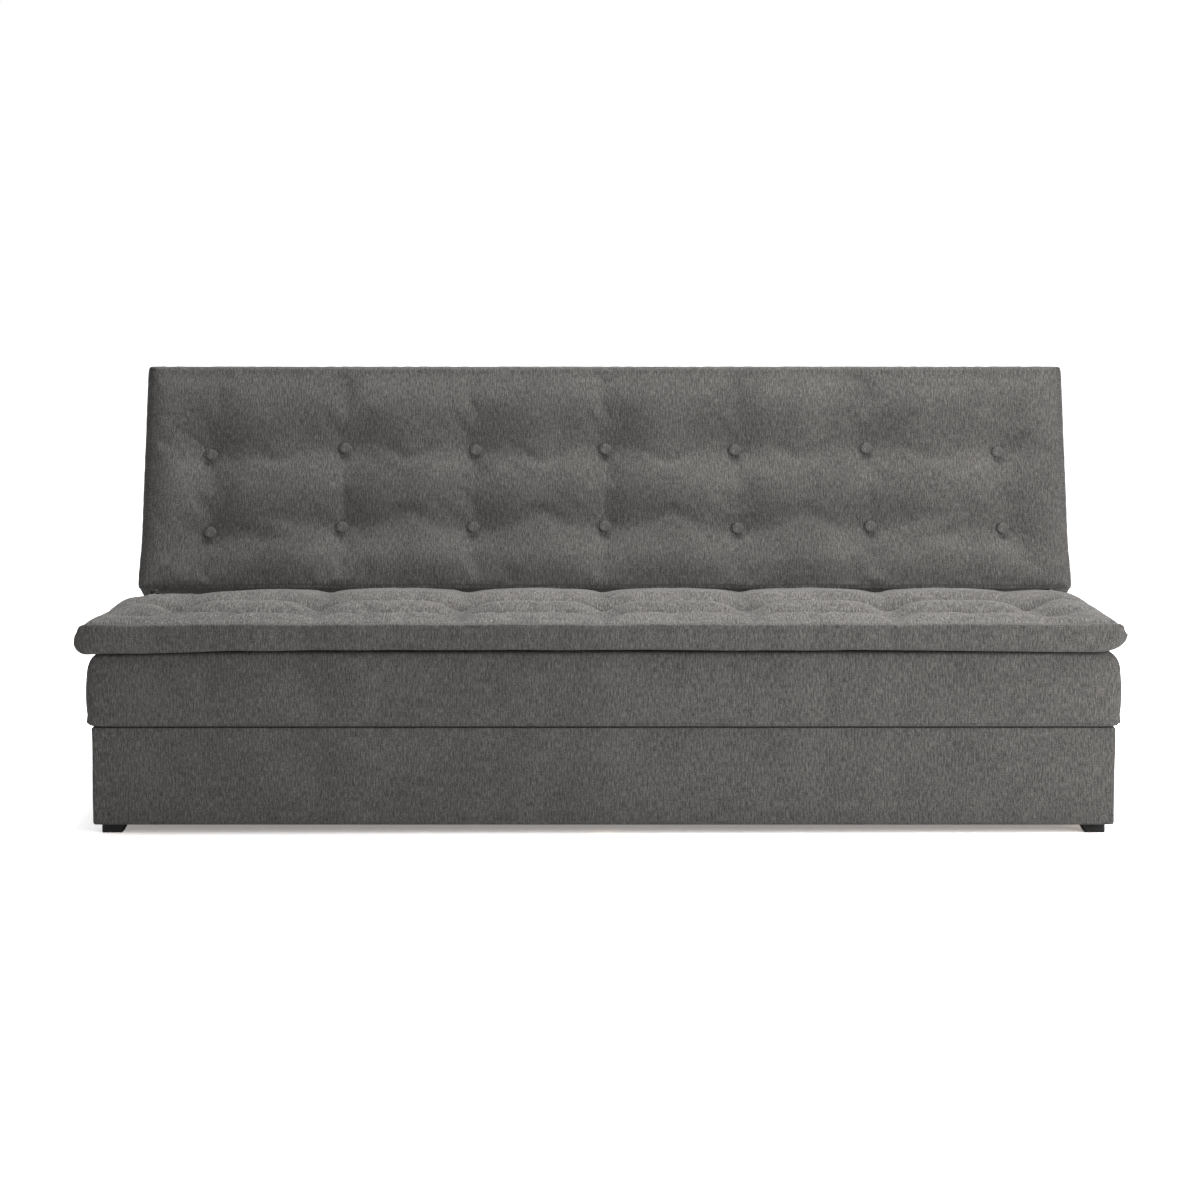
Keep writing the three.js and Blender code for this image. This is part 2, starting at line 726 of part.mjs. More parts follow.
function plate(shape, sign, outer, thickness) {
  const geometry = extrude(shape, thickness, plateSegments).applyMatrix4(toSide);
  return geometry.translate(sign > 0 ? outer - thickness : -outer, 0, 0);
}

function disc(y, z, radius, sign, outer, thickness, segments = roundSegments) {
  const geometry = new THREE.CylinderGeometry(radius, radius, thickness, segments).rotateZ(-Math.PI / 2);
  return geometry.translate(sign * (outer - thickness / 2), y, z);
}

function hole(y, z, radius, sign, outer, thickness) {
  return disc(y, z, radius, sign, outer + overrun, thickness + 2 * overrun, holeSegments);
}

// The outline of a strip of steel that follows a line of points, with mitred bends.
function strip(points, halfWidth) {
  const sides = [[], []];
  points.forEach((point, at) => {
    const before = at > 0 ? point.clone().sub(points[at - 1]).normalize() : null;
    const after = at + 1 < points.length ? points[at + 1].clone().sub(point).normalize() : null;
    const along = (before ?? after).clone().add(after ?? before).normalize();
    const across = new THREE.Vector2(-along.y, along.x);
    const lean = across.dot(new THREE.Vector2(-(after ?? before).y, (after ?? before).x));
    sides[0].push(point.clone().addScaledVector(across, -halfWidth / lean));
    sides[1].unshift(point.clone().addScaledVector(across, halfWidth / lean));
  });
  return new THREE.Shape([...sides[0], ...sides[1]]);
}

const polar = (radius, degrees) => new THREE.Vector2(
  radius * Math.cos(radians(degrees)), radius * Math.sin(radians(degrees)));

const pawlPin = (() => {
  const bite = polar((toothTipRadius + toothRootRadius) / 2, pawlAngle);
  return bite.addScaledVector(polar(1, pawlAngle + quarterTurn), -pawlReach);
})();

// Fixed to the box's side panel, it carries the pivot bolt above the box.
function hingeBracket(sign) {
  const outer = bracketOuter;
  const right = bracketReach - bossRadius;
  const shape = new THREE.Shape();
  shape.moveTo(bossRadius, 0);
  shape.absarc(0, 0, bossRadius, 0, Math.PI);
  shape.lineTo(-bossRadius, -bracketDepth);
  shape.lineTo(right, -bracketDepth);
  shape.lineTo(right, -bracketNeckDrop - bracketShoulder);
  shape.lineTo(bossRadius, -bracketNeckDrop);
  const flangeBase = boxTop + fit - pivotHeight;
  const flangeInner = outer - plateThickness;
  const across = [sign * flangeInner, sign * (outer + flangeWidth)].sort((a, b) => a - b);
  const flange = block(across, [-bossRadius, right], [flangeBase, flangeBase + flangeThickness]);
  const screws = [];
  for (const y of [-bossRadius / 2, right - bossRadius / 2]) {
    for (const z of [-bracketDepth + bossRadius / 2, flangeBase - bossRadius]) {
      screws.push(hole(y, z, screwHoleRadius, sign, outer, plateThickness));
    }
  }
  const body = join(plate(shape, sign, outer, plateThickness), flange);
  return cut(body, hole(0, 0, boltRadius + fit, sign, outer, plateThickness), ...screws);
}

const seatArmLine = () => [
  new THREE.Vector2(0, 0),
  new THREE.Vector2(-seatArmLegInset, pawlPin.y),
  new THREE.Vector2(-seatArmLegInset, -seatArmDrop),
  new THREE.Vector2(-seatArmReach, -seatArmDrop),
];

// From the pivot down the seat's rear face and forwards along its side rail.
function seatArm(sign) {
  const outer = seatArmOuter;
  const body = join(
    plate(strip(seatArmLine(), seatArmHalfWidth), sign, outer, plateThickness),
    disc(0, 0, bossRadius, sign, outer, plateThickness),
  );
  const screws = screwShares.map((share) => hole(
    -seatArmReach * share - seatArmHalfWidth, -seatArmDrop, screwHoleRadius, sign, outer, plateThickness));
  return cut(body, hole(0, 0, boltRadius + fit, sign, outer, plateThickness),
    hole(pawlPin.x, pawlPin.y, pawlPinRadius + fit, sign, outer, plateThickness), ...screws);
}

// What the seat arm needs in the seat's frame and cushion, in the sofa's own places.
function seatArmSlot(sign) {
  const reach = seatArmReach + seatArmHalfWidth;
  const points = [
    new THREE.Vector2(-seatRearGap + overrun, -seatArmDrop),
    new THREE.Vector2(-reach, -seatArmDrop),
  ];
  const slot = plate(strip(points, seatArmHalfWidth + slotClearance), sign,
    seatArmOuter + fit, plateThickness + 2 * fit);
  return slot.translate(0, pivotSetback, pivotHeight);
}

// An inner plate that holds the far end of the pawl's pin.
function hingeCheek(sign) {
  const outer = cheekOuter;
  const line = [new THREE.Vector2(0, 0), pawlPin.clone()];
  const body = join(
    plate(strip(line, cheekPinRadius), sign, outer, cheekThickness),
    disc(0, 0, cheekBossRadius, sign, outer, cheekThickness),
    disc(pawlPin.x, pawlPin.y, cheekPinRadius, sign, outer, cheekThickness),
  );
  return cut(body, hole(0, 0, boltRadius + fit, sign, outer, cheekThickness),
    hole(pawlPin.x, pawlPin.y, pawlPinRadius + fit, sign, outer, cheekThickness));
}

// The toothed head: each tooth has a radial face that the pawl stops, and a slope that lifts it.
function ratchetHead() {
  const firstFace = pawlAngle + toothLand + pawlGap;
  const shape = new THREE.Shape();
  const points = [];
  for (let tooth = toothCount - 1; tooth >= 0; tooth--) {
    const face = firstFace - tooth * toothPitch;
    points.push(
      polar(toothRootRadius, face),
      polar(toothTipRadius, face),
      polar(toothTipRadius, face + toothLand),
      polar(toothRootRadius, face + toothPitch - toothLand),
    );
  }
  const start = firstFace - (toothCount - 1) * toothPitch;
  const end = firstFace + toothPitch;
  const plain = 360 + start - end;
  for (let step = 1; step < roundSegments; step++) {
    points.push(polar(toothRootRadius, end + (plain * step) / roundSegments));
  }
  shape.setFromPoints(points);
  return shape;
}

const backArmLine = () => [
  new THREE.Vector2(0, 0),
  new THREE.Vector2(backArmStraight, 0),
  new THREE.Vector2(backArmStraight + backArmCrank, -backArmStep),
  new THREE.Vector2(backArmReach, -backArmStep),
];

// The ratchet arm, screwed to the back frame's stile.
function backArm(sign) {
  const outer = ratchetOuter;
  const body = join(
    plate(ratchetHead(), sign, outer, ratchetThickness),
    plate(strip(backArmLine(), backArmHalfWidth), sign, outer, ratchetThickness),
  );
  const run = backArmReach - backArmStraight - backArmCrank;
  const screws = screwShares.map((share) => hole(
    backArmReach - run * share, -backArmStep, screwHoleRadius, sign, outer, ratchetThickness));
  return cut(body, hole(0, 0, boltRadius + fit, sign, outer, ratchetThickness), ...screws);
}

function backArmSlot(sign) {
  const line = backArmLine();
  line[3].x += slotClearance;
  const shape = strip(line, backArmHalfWidth + slotClearance);
  return plate(shape, sign, ratchetOuter + fit, ratchetThickness + 2 * fit);
}

// A place on the pawl: so far from its pin towards the bite, and so far away from the pivot line.
function onPawl(towards, outwards) {
  const place = pawlPin.clone().addScaledVector(polar(1, pawlAngle), outwards);
  return place.addScaledVector(polar(1, pawlAngle + quarterTurn), towards);
}

// The pawl's underside, from its boss to its toe, when it is engaged.
const pawlHeel = () => onPawl(pawlBossRadius / 2, pawlDepth - pawlGap);
const pawlToe = () => polar(toothTipRadius + pawlDepth, pawlAngle + toothLand - pawlGap);

// The pawl engaged: a boss on its pin and a nose that fits between two teeth.
function pawl(sign) {
  const outer = ratchetOuter - fit;
  const thickness = ratchetThickness - 2 * fit;
  const tip = toothRootRadius + pawlGap;
  const slopeSpan = toothPitch - 2 * toothLand;
  const nose = new THREE.Shape([
    onPawl(pawlBossRadius / 2, -pawlBossRadius / 2),
    pawlHeel(),
    pawlToe(),
    polar(tip, pawlAngle + toothLand - pawlGap),
    polar(tip + pawlGap / 2, pawlAngle - toothLand / 2),
    polar(toothTipRadius + 2 * pawlGap, pawlAngle - slopeSpan - toothLand / 2),
    onPawl(pawlReach / 2, -pawlGap),
  ]);
  const body = join(
    plate(nose, sign, outer, thickness),
    disc(pawlPin.x, pawlPin.y, pawlBossRadius, sign, outer, thickness),
  );
  return cut(body, hole(pawlPin.x, pawlPin.y, pawlPinRadius + fit, sign, outer, thickness));
}

// A leaf spring fixed to the seat arm, whose tip lies under the pawl when the pawl is clear.
function pawlSpring(sign) {
  const tip = pawlHeel().lerp(pawlToe(), springReachShare).rotateAround(pawlPin, -radians(pawlSwing));
  tip.addScaledVector(polar(1, pawlAngle), springThickness + fit);
  const foot = new THREE.Vector2(pawlPin.x, pawlPin.y - pawlReach - pawlBossRadius);
  const curve = new THREE.QuadraticBezierCurve(foot, new THREE.Vector2(tip.x, foot.y), tip);
  const half = springAnchor / 2;
  const ends = [new THREE.Vector2(foot.x, foot.y - half), new THREE.Vector2(foot.x, foot.y + half)];
  return join(
    plate(strip(curve.getPoints(springSteps), springThickness / 2), sign, ratchetOuter, springWidth),
    plate(strip(ends, half), sign, ratchetOuter, springWidth),
  );
}

// A shouldered pin or bolt along the hinge's axis: a round shank and a head at its inner end.
function headedPin(radius, outer, inner, headRadius, headHeight, headSegments) {
  const shank = disc(0, 0, radius, 1, outer, outer - inner);
  const head = disc(0, 0, headRadius, 1, inner + headHeight / 2, headHeight, headSegments);
  return join(shank, head);
}

function addHinge(sofa, backGroup, side, sign) {
  const pivot = new THREE.Group();
  pivot.position.set(0, pivotSetback, pivotHeight);
  const cheekInner = cheekOuter - cheekThickness;
  const nutInner = bracketOuter + fit;
  const bolt = headedPin(boltRadius, nutInner + nutHeight + boltEnd,
    cheekInner - fit - boltHeadHeight / 2, boltHeadRadius, boltHeadHeight, hexSides);
  const pin = headedPin(pawlPinRadius, seatArmOuter, cheekInner - fit - pinHeadHeight / 2,
    pinHeadRadius, pinHeadHeight, roundSegments);
  const nut = cut(
    disc(0, 0, boltHeadRadius, 1, nutInner + nutHeight, nutHeight, hexSides),
    hole(0, 0, boltRadius + fit, 1, nutInner + nutHeight, nutHeight),
  );
  if (sign < 0) [bolt, pin, nut].forEach((geometry) => geometry.rotateZ(Math.PI));
  pin.translate(0, pawlPin.x, pawlPin.y);
  pivot.add(
    piece(`hinge_bracket_${side}`, hingeBracket(sign), zincSteel()),
    piece(`pivot_bolt_${side}`, bolt, zincSteel()),
    piece(`pivot_nut_${side}`, nut, zincSteel()),
    piece(`seat_arm_${side}`, seatArm(sign), zincSteel()),
    piece(`hinge_cheek_${side}`, hingeCheek(sign), zincSteel()),
    piece(`pawl_pin_${side}`, pin, zincSteel()),
    piece(`pawl_spring_${side}`, pawlSpring(sign), springSteel()),
  );
  sofa.add(pivot);
  const toPin = new THREE.Group();
  toPin.position.set(0, pawlPin.x, pawlPin.y);
  toPin.rotation.x = -radians(pawlSwing);
  const geometry = pawl(sign).translate(0, -pawlPin.x, -pawlPin.y);
  toPin.add(piece(`pawl_${side}`, geometry, zincSteel()));
  pivot.add(toPin);
  backGroup.add(piece(`back_arm_${side}`, backArm(sign), zincSteel()));
}

const sofa = new THREE.Group();
const backGroup = backrest();
backGroup.position.set(0, pivotSetback, pivotHeight);
backGroup.rotation.x = radians(quarterTurn - backLean);
addHinge(sofa, backGroup, 'left', -1);
addHinge(sofa, backGroup, 'right', 1);
sofa.add(storageBox(), seat(), backGroup);
sofa.updateMatrixWorld(true);
const bounds = new THREE.Box3().setFromObject(sofa, true);
sofa.position.y = -(bounds.min.y + bounds.max.y) / 2;
sofa.updateMatrixWorld(true);

export default sofa;
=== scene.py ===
"""The looks of a click-clack sofa bed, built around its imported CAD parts.

Metres, +Z up, the front faces -Y, in the frame that the CAD parts share.
"""
import json
import math

import bpy
import numpy as np
from mathutils import Matrix, Vector


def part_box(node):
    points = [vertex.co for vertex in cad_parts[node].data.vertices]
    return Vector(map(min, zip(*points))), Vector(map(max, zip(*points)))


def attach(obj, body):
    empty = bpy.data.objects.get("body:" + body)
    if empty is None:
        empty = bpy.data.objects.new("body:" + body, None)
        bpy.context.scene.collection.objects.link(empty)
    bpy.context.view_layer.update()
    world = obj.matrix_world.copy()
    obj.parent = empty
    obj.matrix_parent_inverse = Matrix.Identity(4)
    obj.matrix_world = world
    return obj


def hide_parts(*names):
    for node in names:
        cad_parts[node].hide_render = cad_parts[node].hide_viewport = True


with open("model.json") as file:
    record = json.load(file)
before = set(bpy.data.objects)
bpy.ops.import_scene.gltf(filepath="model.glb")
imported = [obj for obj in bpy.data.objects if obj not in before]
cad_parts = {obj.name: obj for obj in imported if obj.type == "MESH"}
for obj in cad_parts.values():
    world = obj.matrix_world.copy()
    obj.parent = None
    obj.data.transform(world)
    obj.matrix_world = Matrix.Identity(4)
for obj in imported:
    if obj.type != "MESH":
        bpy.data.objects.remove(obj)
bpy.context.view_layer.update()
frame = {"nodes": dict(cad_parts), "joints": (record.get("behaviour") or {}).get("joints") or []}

MM = 0.001

# Places taken from the CAD parts
PIVOT = Vector(next(j for j in frame["joints"] if j["name"] == "back_recline")["pos_m"])
BACK_LEAN = math.radians(21)
SEAT_FRAME = Matrix.Identity(4)
BACK_FRAME = Matrix.Translation(PIVOT) @ Matrix.Rotation(math.pi / 2 - BACK_LEAN, 4, "X")


def local_box(node, place):
    """The lowest and highest corner of a CAD node in the axes of a place."""
    inverse = np.array(place.inverted())
    co = np.array([v.co for v in frame["nodes"][node].data.vertices])
    local = co @ inverse[:3, :3].T + inverse[:3, 3]
    return local.min(0), local.max(0)


BUTTON_ROWS = ("lower", "upper")
COLUMNS = 7


def button_places():
    """The middle of each back button's base, in the back's own axes, by row and column."""
    places = {}
    for row in BUTTON_ROWS:
        for column in range(1, COLUMNS + 1):
            low, high = local_box(f"back_button_{row}_{column}", BACK_FRAME)
            places[row, column] = ((low[0] + high[0]) / 2, (low[1] + high[1]) / 2, low[2], high[2])
    return places


BUTTONS = button_places()
PITCH = BUTTONS["lower", 2][0] - BUTTONS["lower", 1][0]
SEAT_ROW_SETBACK = 140 * MM
SEAT_ROW_SPACING = 168 * MM
topper_low, topper_high = local_box("seat_topper", SEAT_FRAME)


class Tufts:
    """Two rows of hand-set tufts, and how far a place is from the lines that join them."""

    def __init__(self, columns, rows, aside, along):
        """Even columns and rows, each tuft moved by its own millimetres aside and along."""
        self.x = np.array(columns) + np.array(aside) * MM
        self.y = np.array(rows)[:, None] + np.array(along) * MM

    def distances(self, x, y):
        low, high = (np.interp(x, self.x[row], self.y[row]) for row in (0, 1))
        share = np.clip((y - low) / (high - low), 0, 1)
        lines = [self.x[0][n] + (self.x[1][n] - self.x[0][n]) * share for n in range(COLUMNS)]
        return np.min([abs(x - line) for line in lines], 0), np.minimum(abs(y - low), abs(y - high))


BACK_TUFTS = Tufts(
    [BUTTONS["lower", n][0] for n in range(1, COLUMNS + 1)], [BUTTONS[row, 1][1] for row in BUTTON_ROWS],
    [(9, 8, 6, 4, 5, 6, 6), (7, 11, 9, 5, 1, 1, 1)], [(-10, 1, 1, 3, -1, 3, -1), (-9, 5, 1, 3, 1, 5, -3)],
)
SEAT_TUFTS = Tufts(
    [BUTTONS["lower", n][0] for n in range(1, COLUMNS + 1)],
    [topper_low[1] + SEAT_ROW_SETBACK, topper_low[1] + SEAT_ROW_SETBACK + SEAT_ROW_SPACING],
    [(2, 3, -2, 1, 4, -3, 3), (4, -3, 2, -1, 0, 3, -4)], [(3, -4, 2, -2, 4, 1, -3), (-2, 4, -3, 3, -4, 2, 4)],
)


# Fields

def smooth(share):
    share = np.clip(share, 0, 1)
    return share * share * (3 - 2 * share)


def noise(u, v, seed):
    """Smooth noise from -1 to 1, with a new value at each whole number of u and v."""
    cells = 64
    table = np.random.RandomState(seed).uniform(-1, 1, (cells, cells))
    iu, iv = np.floor(u).astype(int), np.floor(v).astype(int)
    fu, fv = smooth(u - iu), smooth(v - iv)

    def corner(du, dv):
        return table[(iu + du) % cells, (iv + dv) % cells]

    low = corner(0, 0) * (1 - fu) + corner(1, 0) * fu
    high = corner(0, 1) * (1 - fu) + corner(1, 1) * fu
    return low * (1 - fv) + high * fv


def bell(distance, width):
    return np.exp(-(distance / width) ** 2)


# Pads

def side_path(stations, height, roll, drop, under, lift, belly=0, wall=0, ceiling=0):
    """Inset and drop at each station down a pad's side: 0 to 1 rounds the roll, 1 to 2 runs down the
    wall, 2 to 3 rounds the lower edge, 3 to 4 goes in along the rim and 4 to 5 up inside."""
    s = np.asarray(stations, float)
    turn = np.clip(s, 0, 1) * math.pi / 2
    down = np.clip(s - 1, 0, 1)
    tuck = np.clip(s - 2, 0, 1) * math.pi / 2
    rim = np.clip(s - 3, 0, 1)
    inside = np.clip(s - 4, 0, 1)
    lower = height - lift
    inset = np.select(
        [s <= 1, s <= 2, s <= 3],
        [
            belly + (roll - belly) * (1 - np.sin(turn)),
            belly * (1 - np.sin(math.pi * down)),
            belly + (under - belly) * (1 - np.cos(tuck)),
        ],
        under + (wall - under) * rim,
    )
    fall = np.select(
        [s <= 1, s <= 2, s <= 3],
        [drop * (1 - np.cos(turn)), drop + (lower - drop) * down, height - lift * (1 - np.sin(tuck))],
        height + (ceiling - height) * inside,
    )
    return np.stack([inset, fall], 1)


def path_lengths(path):
    steps = np.hypot(*(path[1:] - path[:-1]).T)
    return np.concatenate([[0], np.cumsum(steps)])


def grid_lines(low, high, corner, spacing):
    """Even lines from low to high, with closer ones round both corners."""
    count = int(round((high - low - 2 * corner) / spacing)) + 1
    return np.concatenate([
        [low, low + corner / 3, low + corner * 2 / 3], np.linspace(low + corner, high - corner, count),
        [high - corner * 2 / 3, high - corner / 3, high],
    ])


def rounded(x, y, half, front, rear, corner):
    """Places of a rectangle moved onto one with rounded corners, and the way out of each."""
    core_x = np.clip(x, -half + corner, half - corner)
    core_y = np.clip(y, front + corner, rear - corner)
    dx, dy = x - core_x, y - core_y
    reach = np.hypot(dx, dy)
    safe = np.where(reach > 1e-9, reach, 1)
    scale = np.where(reach > 1e-9, np.maximum(abs(dx), abs(dy)) / safe, 1)
    return core_x + dx * scale, core_y + dy * scale, dx / safe, dy / safe


FAN = 60 * MM  # the stretch beside a corner in which a side's upright lines spread out


class Pad:
    """A sewn pad as a mesh of quads: a gridded top panel, rings down its sides, and a floor.

    Each ring is a rounded rectangle that takes its inset on each side from that side's path."""

    def __init__(self, half, front, rear, top, sides, stations, corners, spacing, relief, seam, draw_in=0):
        paths = {side: side_path(stations, **sides[side]) for side in ("ends", "front", "rear")}
        self.in_half = half - paths["ends"][0, 0]
        self.in_front = front + paths["front"][0, 0]
        self.in_rear = rear - paths["rear"][0, 0]
        self.corner, self.draw_in = corners[0], draw_in
        xs = grid_lines(-self.in_half, self.in_half, self.corner, spacing)
        ys = grid_lines(self.in_front, self.in_rear, self.corner, spacing)
        columns, rows = len(xs), len(ys)
        grid_x, grid_y = (a.ravel() for a in np.meshgrid(xs, ys))
        x, y, out_x, out_y = rounded(grid_x, grid_y, self.in_half, self.in_front, self.in_rear, self.corner)
        top_co = np.stack([x, y, top + relief(x, y)], 1)
        rim = np.concatenate([
            np.arange(columns - 1),
            np.arange(rows - 1) * columns + columns - 1,
            rows * columns - 1 - np.arange(columns - 1),
            (rows - 1 - np.arange(rows - 1)) * columns,
        ])
        around, count = len(rim), columns * rows
        out = np.stack([out_x[rim], out_y[rim]], 1)
        shares = {
            "ends": out[:, 0] ** 2,
            "front": np.clip(-out[:, 1], 0, None) ** 2,
            "rear": np.clip(out[:, 1], 0, None) ** 2,
        }
        arcs = {side: path_lengths(path) for side, path in paths.items()}
        fall, arc = (
            sum(shares[side][None, :] * values[side][:, None] for side in shares)
            for values in ({side: path[:, 1] for side, path in paths.items()}, arcs)
        )
        rings = len(stations) - 1
        rim_x, rim_y = grid_x[rim], grid_y[rim]
        near_end = smooth((abs(rim_x) - self.in_half + FAN) / FAN) * np.sign(rim_x)
        near_front = smooth((self.in_front + FAN - rim_y) / FAN)
        near_rear = smooth((rim_y - self.in_rear + FAN) / FAN)
        laid = [
            np.stack([rim_x + near_end * arcs["ends"][ring],
                      rim_y + near_rear * arcs["rear"][ring] - near_front * arcs["front"][ring]], 1)
            for ring in range(rings + 1)
        ]
        ring_co, rim_relief = [], relief(x[rim], y[rim])
        for ring in range(1, rings + 1):
            grown = {side: paths[side][0, 0] - paths[side][ring, 0] for side in paths}
            ring_x, ring_y, _, _ = rounded(
                rim_x + near_end * grown["ends"],
                rim_y + near_rear * grown["rear"] - near_front * grown["front"],
                self.in_half + grown["ends"], self.in_front - grown["front"], self.in_rear + grown["rear"],
                corners[0] + (corners[1] - corners[0]) * min(1, stations[ring]),
            )
            height = top - fall[ring] + rim_relief * max(0, 1 - stations[ring] / 1.6)
            ring_co.append(np.stack([ring_x, ring_y, height], 1))
        ring_co = np.concatenate(ring_co)
        last = count + (rings - 1) * around
        on_rim = np.zeros(count, bool)
        on_rim[rim] = True
        inner = np.flatnonzero(~on_rim)
        floor_height = top - fall[-1].mean()
        floor_co = np.stack([x[inner], y[inner], np.full(len(inner), floor_height)], 1)
        self.co = np.concatenate([top_co, ring_co, floor_co])
        floor_index = np.empty(count, int)
        floor_index[rim] = last + np.arange(around)
        floor_index[inner] = count + rings * around + np.arange(len(inner))
        a = (np.arange(rows - 1)[:, None] * columns + np.arange(columns - 1)).ravel()
        top_faces = np.stack([a, a + 1, a + 1 + columns, a + columns], 1)
        levels = [rim] + [count + ring * around + np.arange(around) for ring in range(rings)]
        ring_faces = [
            np.stack([upper, lower, np.roll(lower, -1), np.roll(upper, -1)], 1)
            for upper, lower in zip(levels, levels[1:])
        ]
        floor_faces = floor_index[top_faces[:, ::-1]]
        self.faces = np.concatenate([top_faces, *ring_faces, floor_faces])
        # The cloth lies flat on the top panel and, below the seam, runs round the side and down it.
        widest = int(np.searchsorted(stations, 1)) - 1
        outline = ring_co[widest * around:(widest + 1) * around, :2]
        spread = np.concatenate([[0], np.cumsum(np.hypot(*(outline[1:] - outline[:-1]).T))])
        girth = spread[-1] + np.hypot(*(outline[0] - outline[-1]))
        flat_top = np.stack([x, y], 1)
        cloth = [flat_top[top_faces].reshape(-1, 2)]
        for ring in range(rings):
            if stations[ring + 1] <= seam:
                upper, lower = laid[ring], laid[ring + 1]
                quad = [upper, lower, np.roll(lower, -1, 0), np.roll(upper, -1, 0)]
            else:
                following = np.append(spread[1:], girth)
                quad = [
                    np.stack([spread, -arc[ring]], 1), np.stack([spread, -arc[ring + 1]], 1),
                    np.stack([following, -np.roll(arc[ring + 1], -1)], 1),
                    np.stack([following, -np.roll(arc[ring], -1)], 1),
                ]
            cloth.append(np.stack(quad, 1).reshape(-1, 2))
        cloth.append(flat_top[top_faces[:, ::-1]].reshape(-1, 2))
        self.cloth = np.concatenate(cloth)
        floor_station = np.full(len(inner), stations[-1])
        self.station = np.concatenate([np.zeros(count), np.repeat(stations[1:], around), floor_station])
        self.arc = np.concatenate([np.zeros(count), arc[1:].ravel(), np.full(len(inner), arc[-1].mean())])
        if draw_in:
            self.draw_ends_in()

    def draw_ends_in(self):
        x, y = self.co[:, 0], self.co[:, 1]
        middle = (self.in_front + self.in_rear) / 2
        straight = (self.in_rear - self.in_front) / 2 - self.corner
        along = np.clip(abs(y - middle) / straight, 0, 1)
        self.co[:, 0] = x - np.sign(x) * self.draw_in * (1 - along ** 2) * np.clip(abs(x) / self.in_half, 0, 1)

    def mesh(self, name):
        mesh = bpy.data.meshes.new(name)
        mesh.from_pydata(self.co.tolist(), [], self.faces.tolist())
        uv = mesh.uv_layers.new(name="cloth")
        uv.data.foreach_set("uv", self.cloth.astype(np.float32).ravel())
        for title, values in (("station", self.station), ("arc", self.arc)):
            attribute = mesh.attributes.new(title, "FLOAT", "POINT")
            attribute.data.foreach_set("value", values.astype(np.float32))
        mesh.shade_smooth()
        obj = bpy.data.objects.new(name, mesh)
        bpy.context.scene.collection.objects.link(obj)
        return obj


def read(obj, title):
    mesh = obj.data
    if title == "co":
        values = np.empty(len(mesh.vertices) * 3, np.float32)
        mesh.vertices.foreach_get("co", values)
        return values.reshape(-1, 3).astype(float)
    if title == "normal":
        values = np.empty(len(mesh.vertices) * 3, np.float32)
        mesh.vertex_normals.foreach_get("vector", values)
        return values.reshape(-1, 3).astype(float)
    values = np.empty(len(mesh.vertices), np.float32)
    mesh.attributes[title].data.foreach_get("value", values)
    return values.astype(float)


def write_places(obj, co):
    obj.data.vertices.foreach_set("co", co.astype(np.float32).ravel())
    obj.data.update()


def applied(obj):
    """The object with its modifiers worked into its mesh."""
    graph = bpy.context.evaluated_depsgraph_get()
    mesh = bpy.data.meshes.new_from_object(obj.evaluated_get(graph), preserve_all_data_layers=True, depsgraph=graph)
    obj.modifiers.clear()
    obj.data = mesh
    return obj


def subdivided(obj, levels=1):
    modifier = obj.modifiers.new("smooth", "SUBSURF")
    modifier.levels = modifier.render_levels = levels
    modifier.uv_smooth = "PRESERVE_BOUNDARIES"
    return applied(obj)


def inflate(obj, pins, pressure, frames, cap, stiffness=12, bending=2, slack=0.0):
    """Blows a pad up as cloth, held at its pins, and keeps the result within a cap."""
    start = read(obj, "co")
    group = obj.vertex_groups.new(name="pins")
    for level in np.unique(np.round(pins, 2)):
        if level > 0:
            chosen = np.flatnonzero(np.round(pins, 2) == level)
            group.add(chosen.tolist(), float(level), "REPLACE")
    modifier = obj.modifiers.new("cloth", "CLOTH")
    cloth = modifier.settings
    cloth.quality = 4
    cloth.mass = 0.3
    cloth.tension_stiffness = cloth.compression_stiffness = stiffness
    cloth.shear_stiffness = stiffness / 2
    cloth.bending_stiffness = bending
    cloth.tension_damping = cloth.compression_damping = cloth.shear_damping = 8
    cloth.air_damping = 3
    cloth.vertex_group_mass = "pins"
    cloth.use_pressure = True
    cloth.uniform_pressure_force = pressure
    cloth.shrink_min = -slack
    cloth.effector_weights.gravity = 0
    modifier.collision_settings.use_collision = False
    modifier.point_cache.frame_start = 1
    modifier.point_cache.frame_end = frames
    scene = bpy.context.scene
    for number in range(1, frames + 1):
        scene.frame_set(number)
    graph = bpy.context.evaluated_depsgraph_get()
    result = obj.evaluated_get(graph).data
    values = np.empty(len(result.vertices) * 3, np.float32)
    result.vertices.foreach_get("co", values)
    obj.modifiers.clear()
    scene.frame_set(1)
    move = values.reshape(-1, 3).astype(float) - start
    reach = np.linalg.norm(move, axis=1)
    print("inflate", obj.name, "moved up to", round(reach.max() * 1000, 1), "mm, mean", round(reach.mean() * 1000, 2))
    limit = np.minimum(1, cap / np.maximum(reach, 1e-9))
    write_places(obj, start + move * limit[:, None])


def tufted(tufts, depth, crease, valley, beyond, crown, low, high, half):
    """The height of a tufted panel: pillows between creases that dip to each tuft."""
    reach = PITCH / 2
    rows = tufts.y.mean(1)

    def relief(x, y):
        across, along = tufts.distances(x, y)
        edge = np.minimum(half - abs(x), np.minimum(y - low, high - y))
        fade = smooth(edge / (reach / 2))
        near = lambda distance: 1 - smooth(distance / reach)
        between = smooth((y - rows[0] + 30 * MM) / (30 * MM)) * smooth((rows[1] + 30 * MM - y) / (30 * MM))
        inside = 0.35 + 0.65 * smooth((abs(tufts.x).max() + 60 * MM - abs(x)) / (60 * MM))
        lines = np.maximum(valley(across) * (beyond + (0.65 - beyond / 2) * between), valley(along) * inside)
        dip = (depth - crease) * near(np.hypot(across, along)) ** 3
        return (crown * (1 - np.maximum(near(across), near(along))) - crease * lines - dip) * fade

    return relief


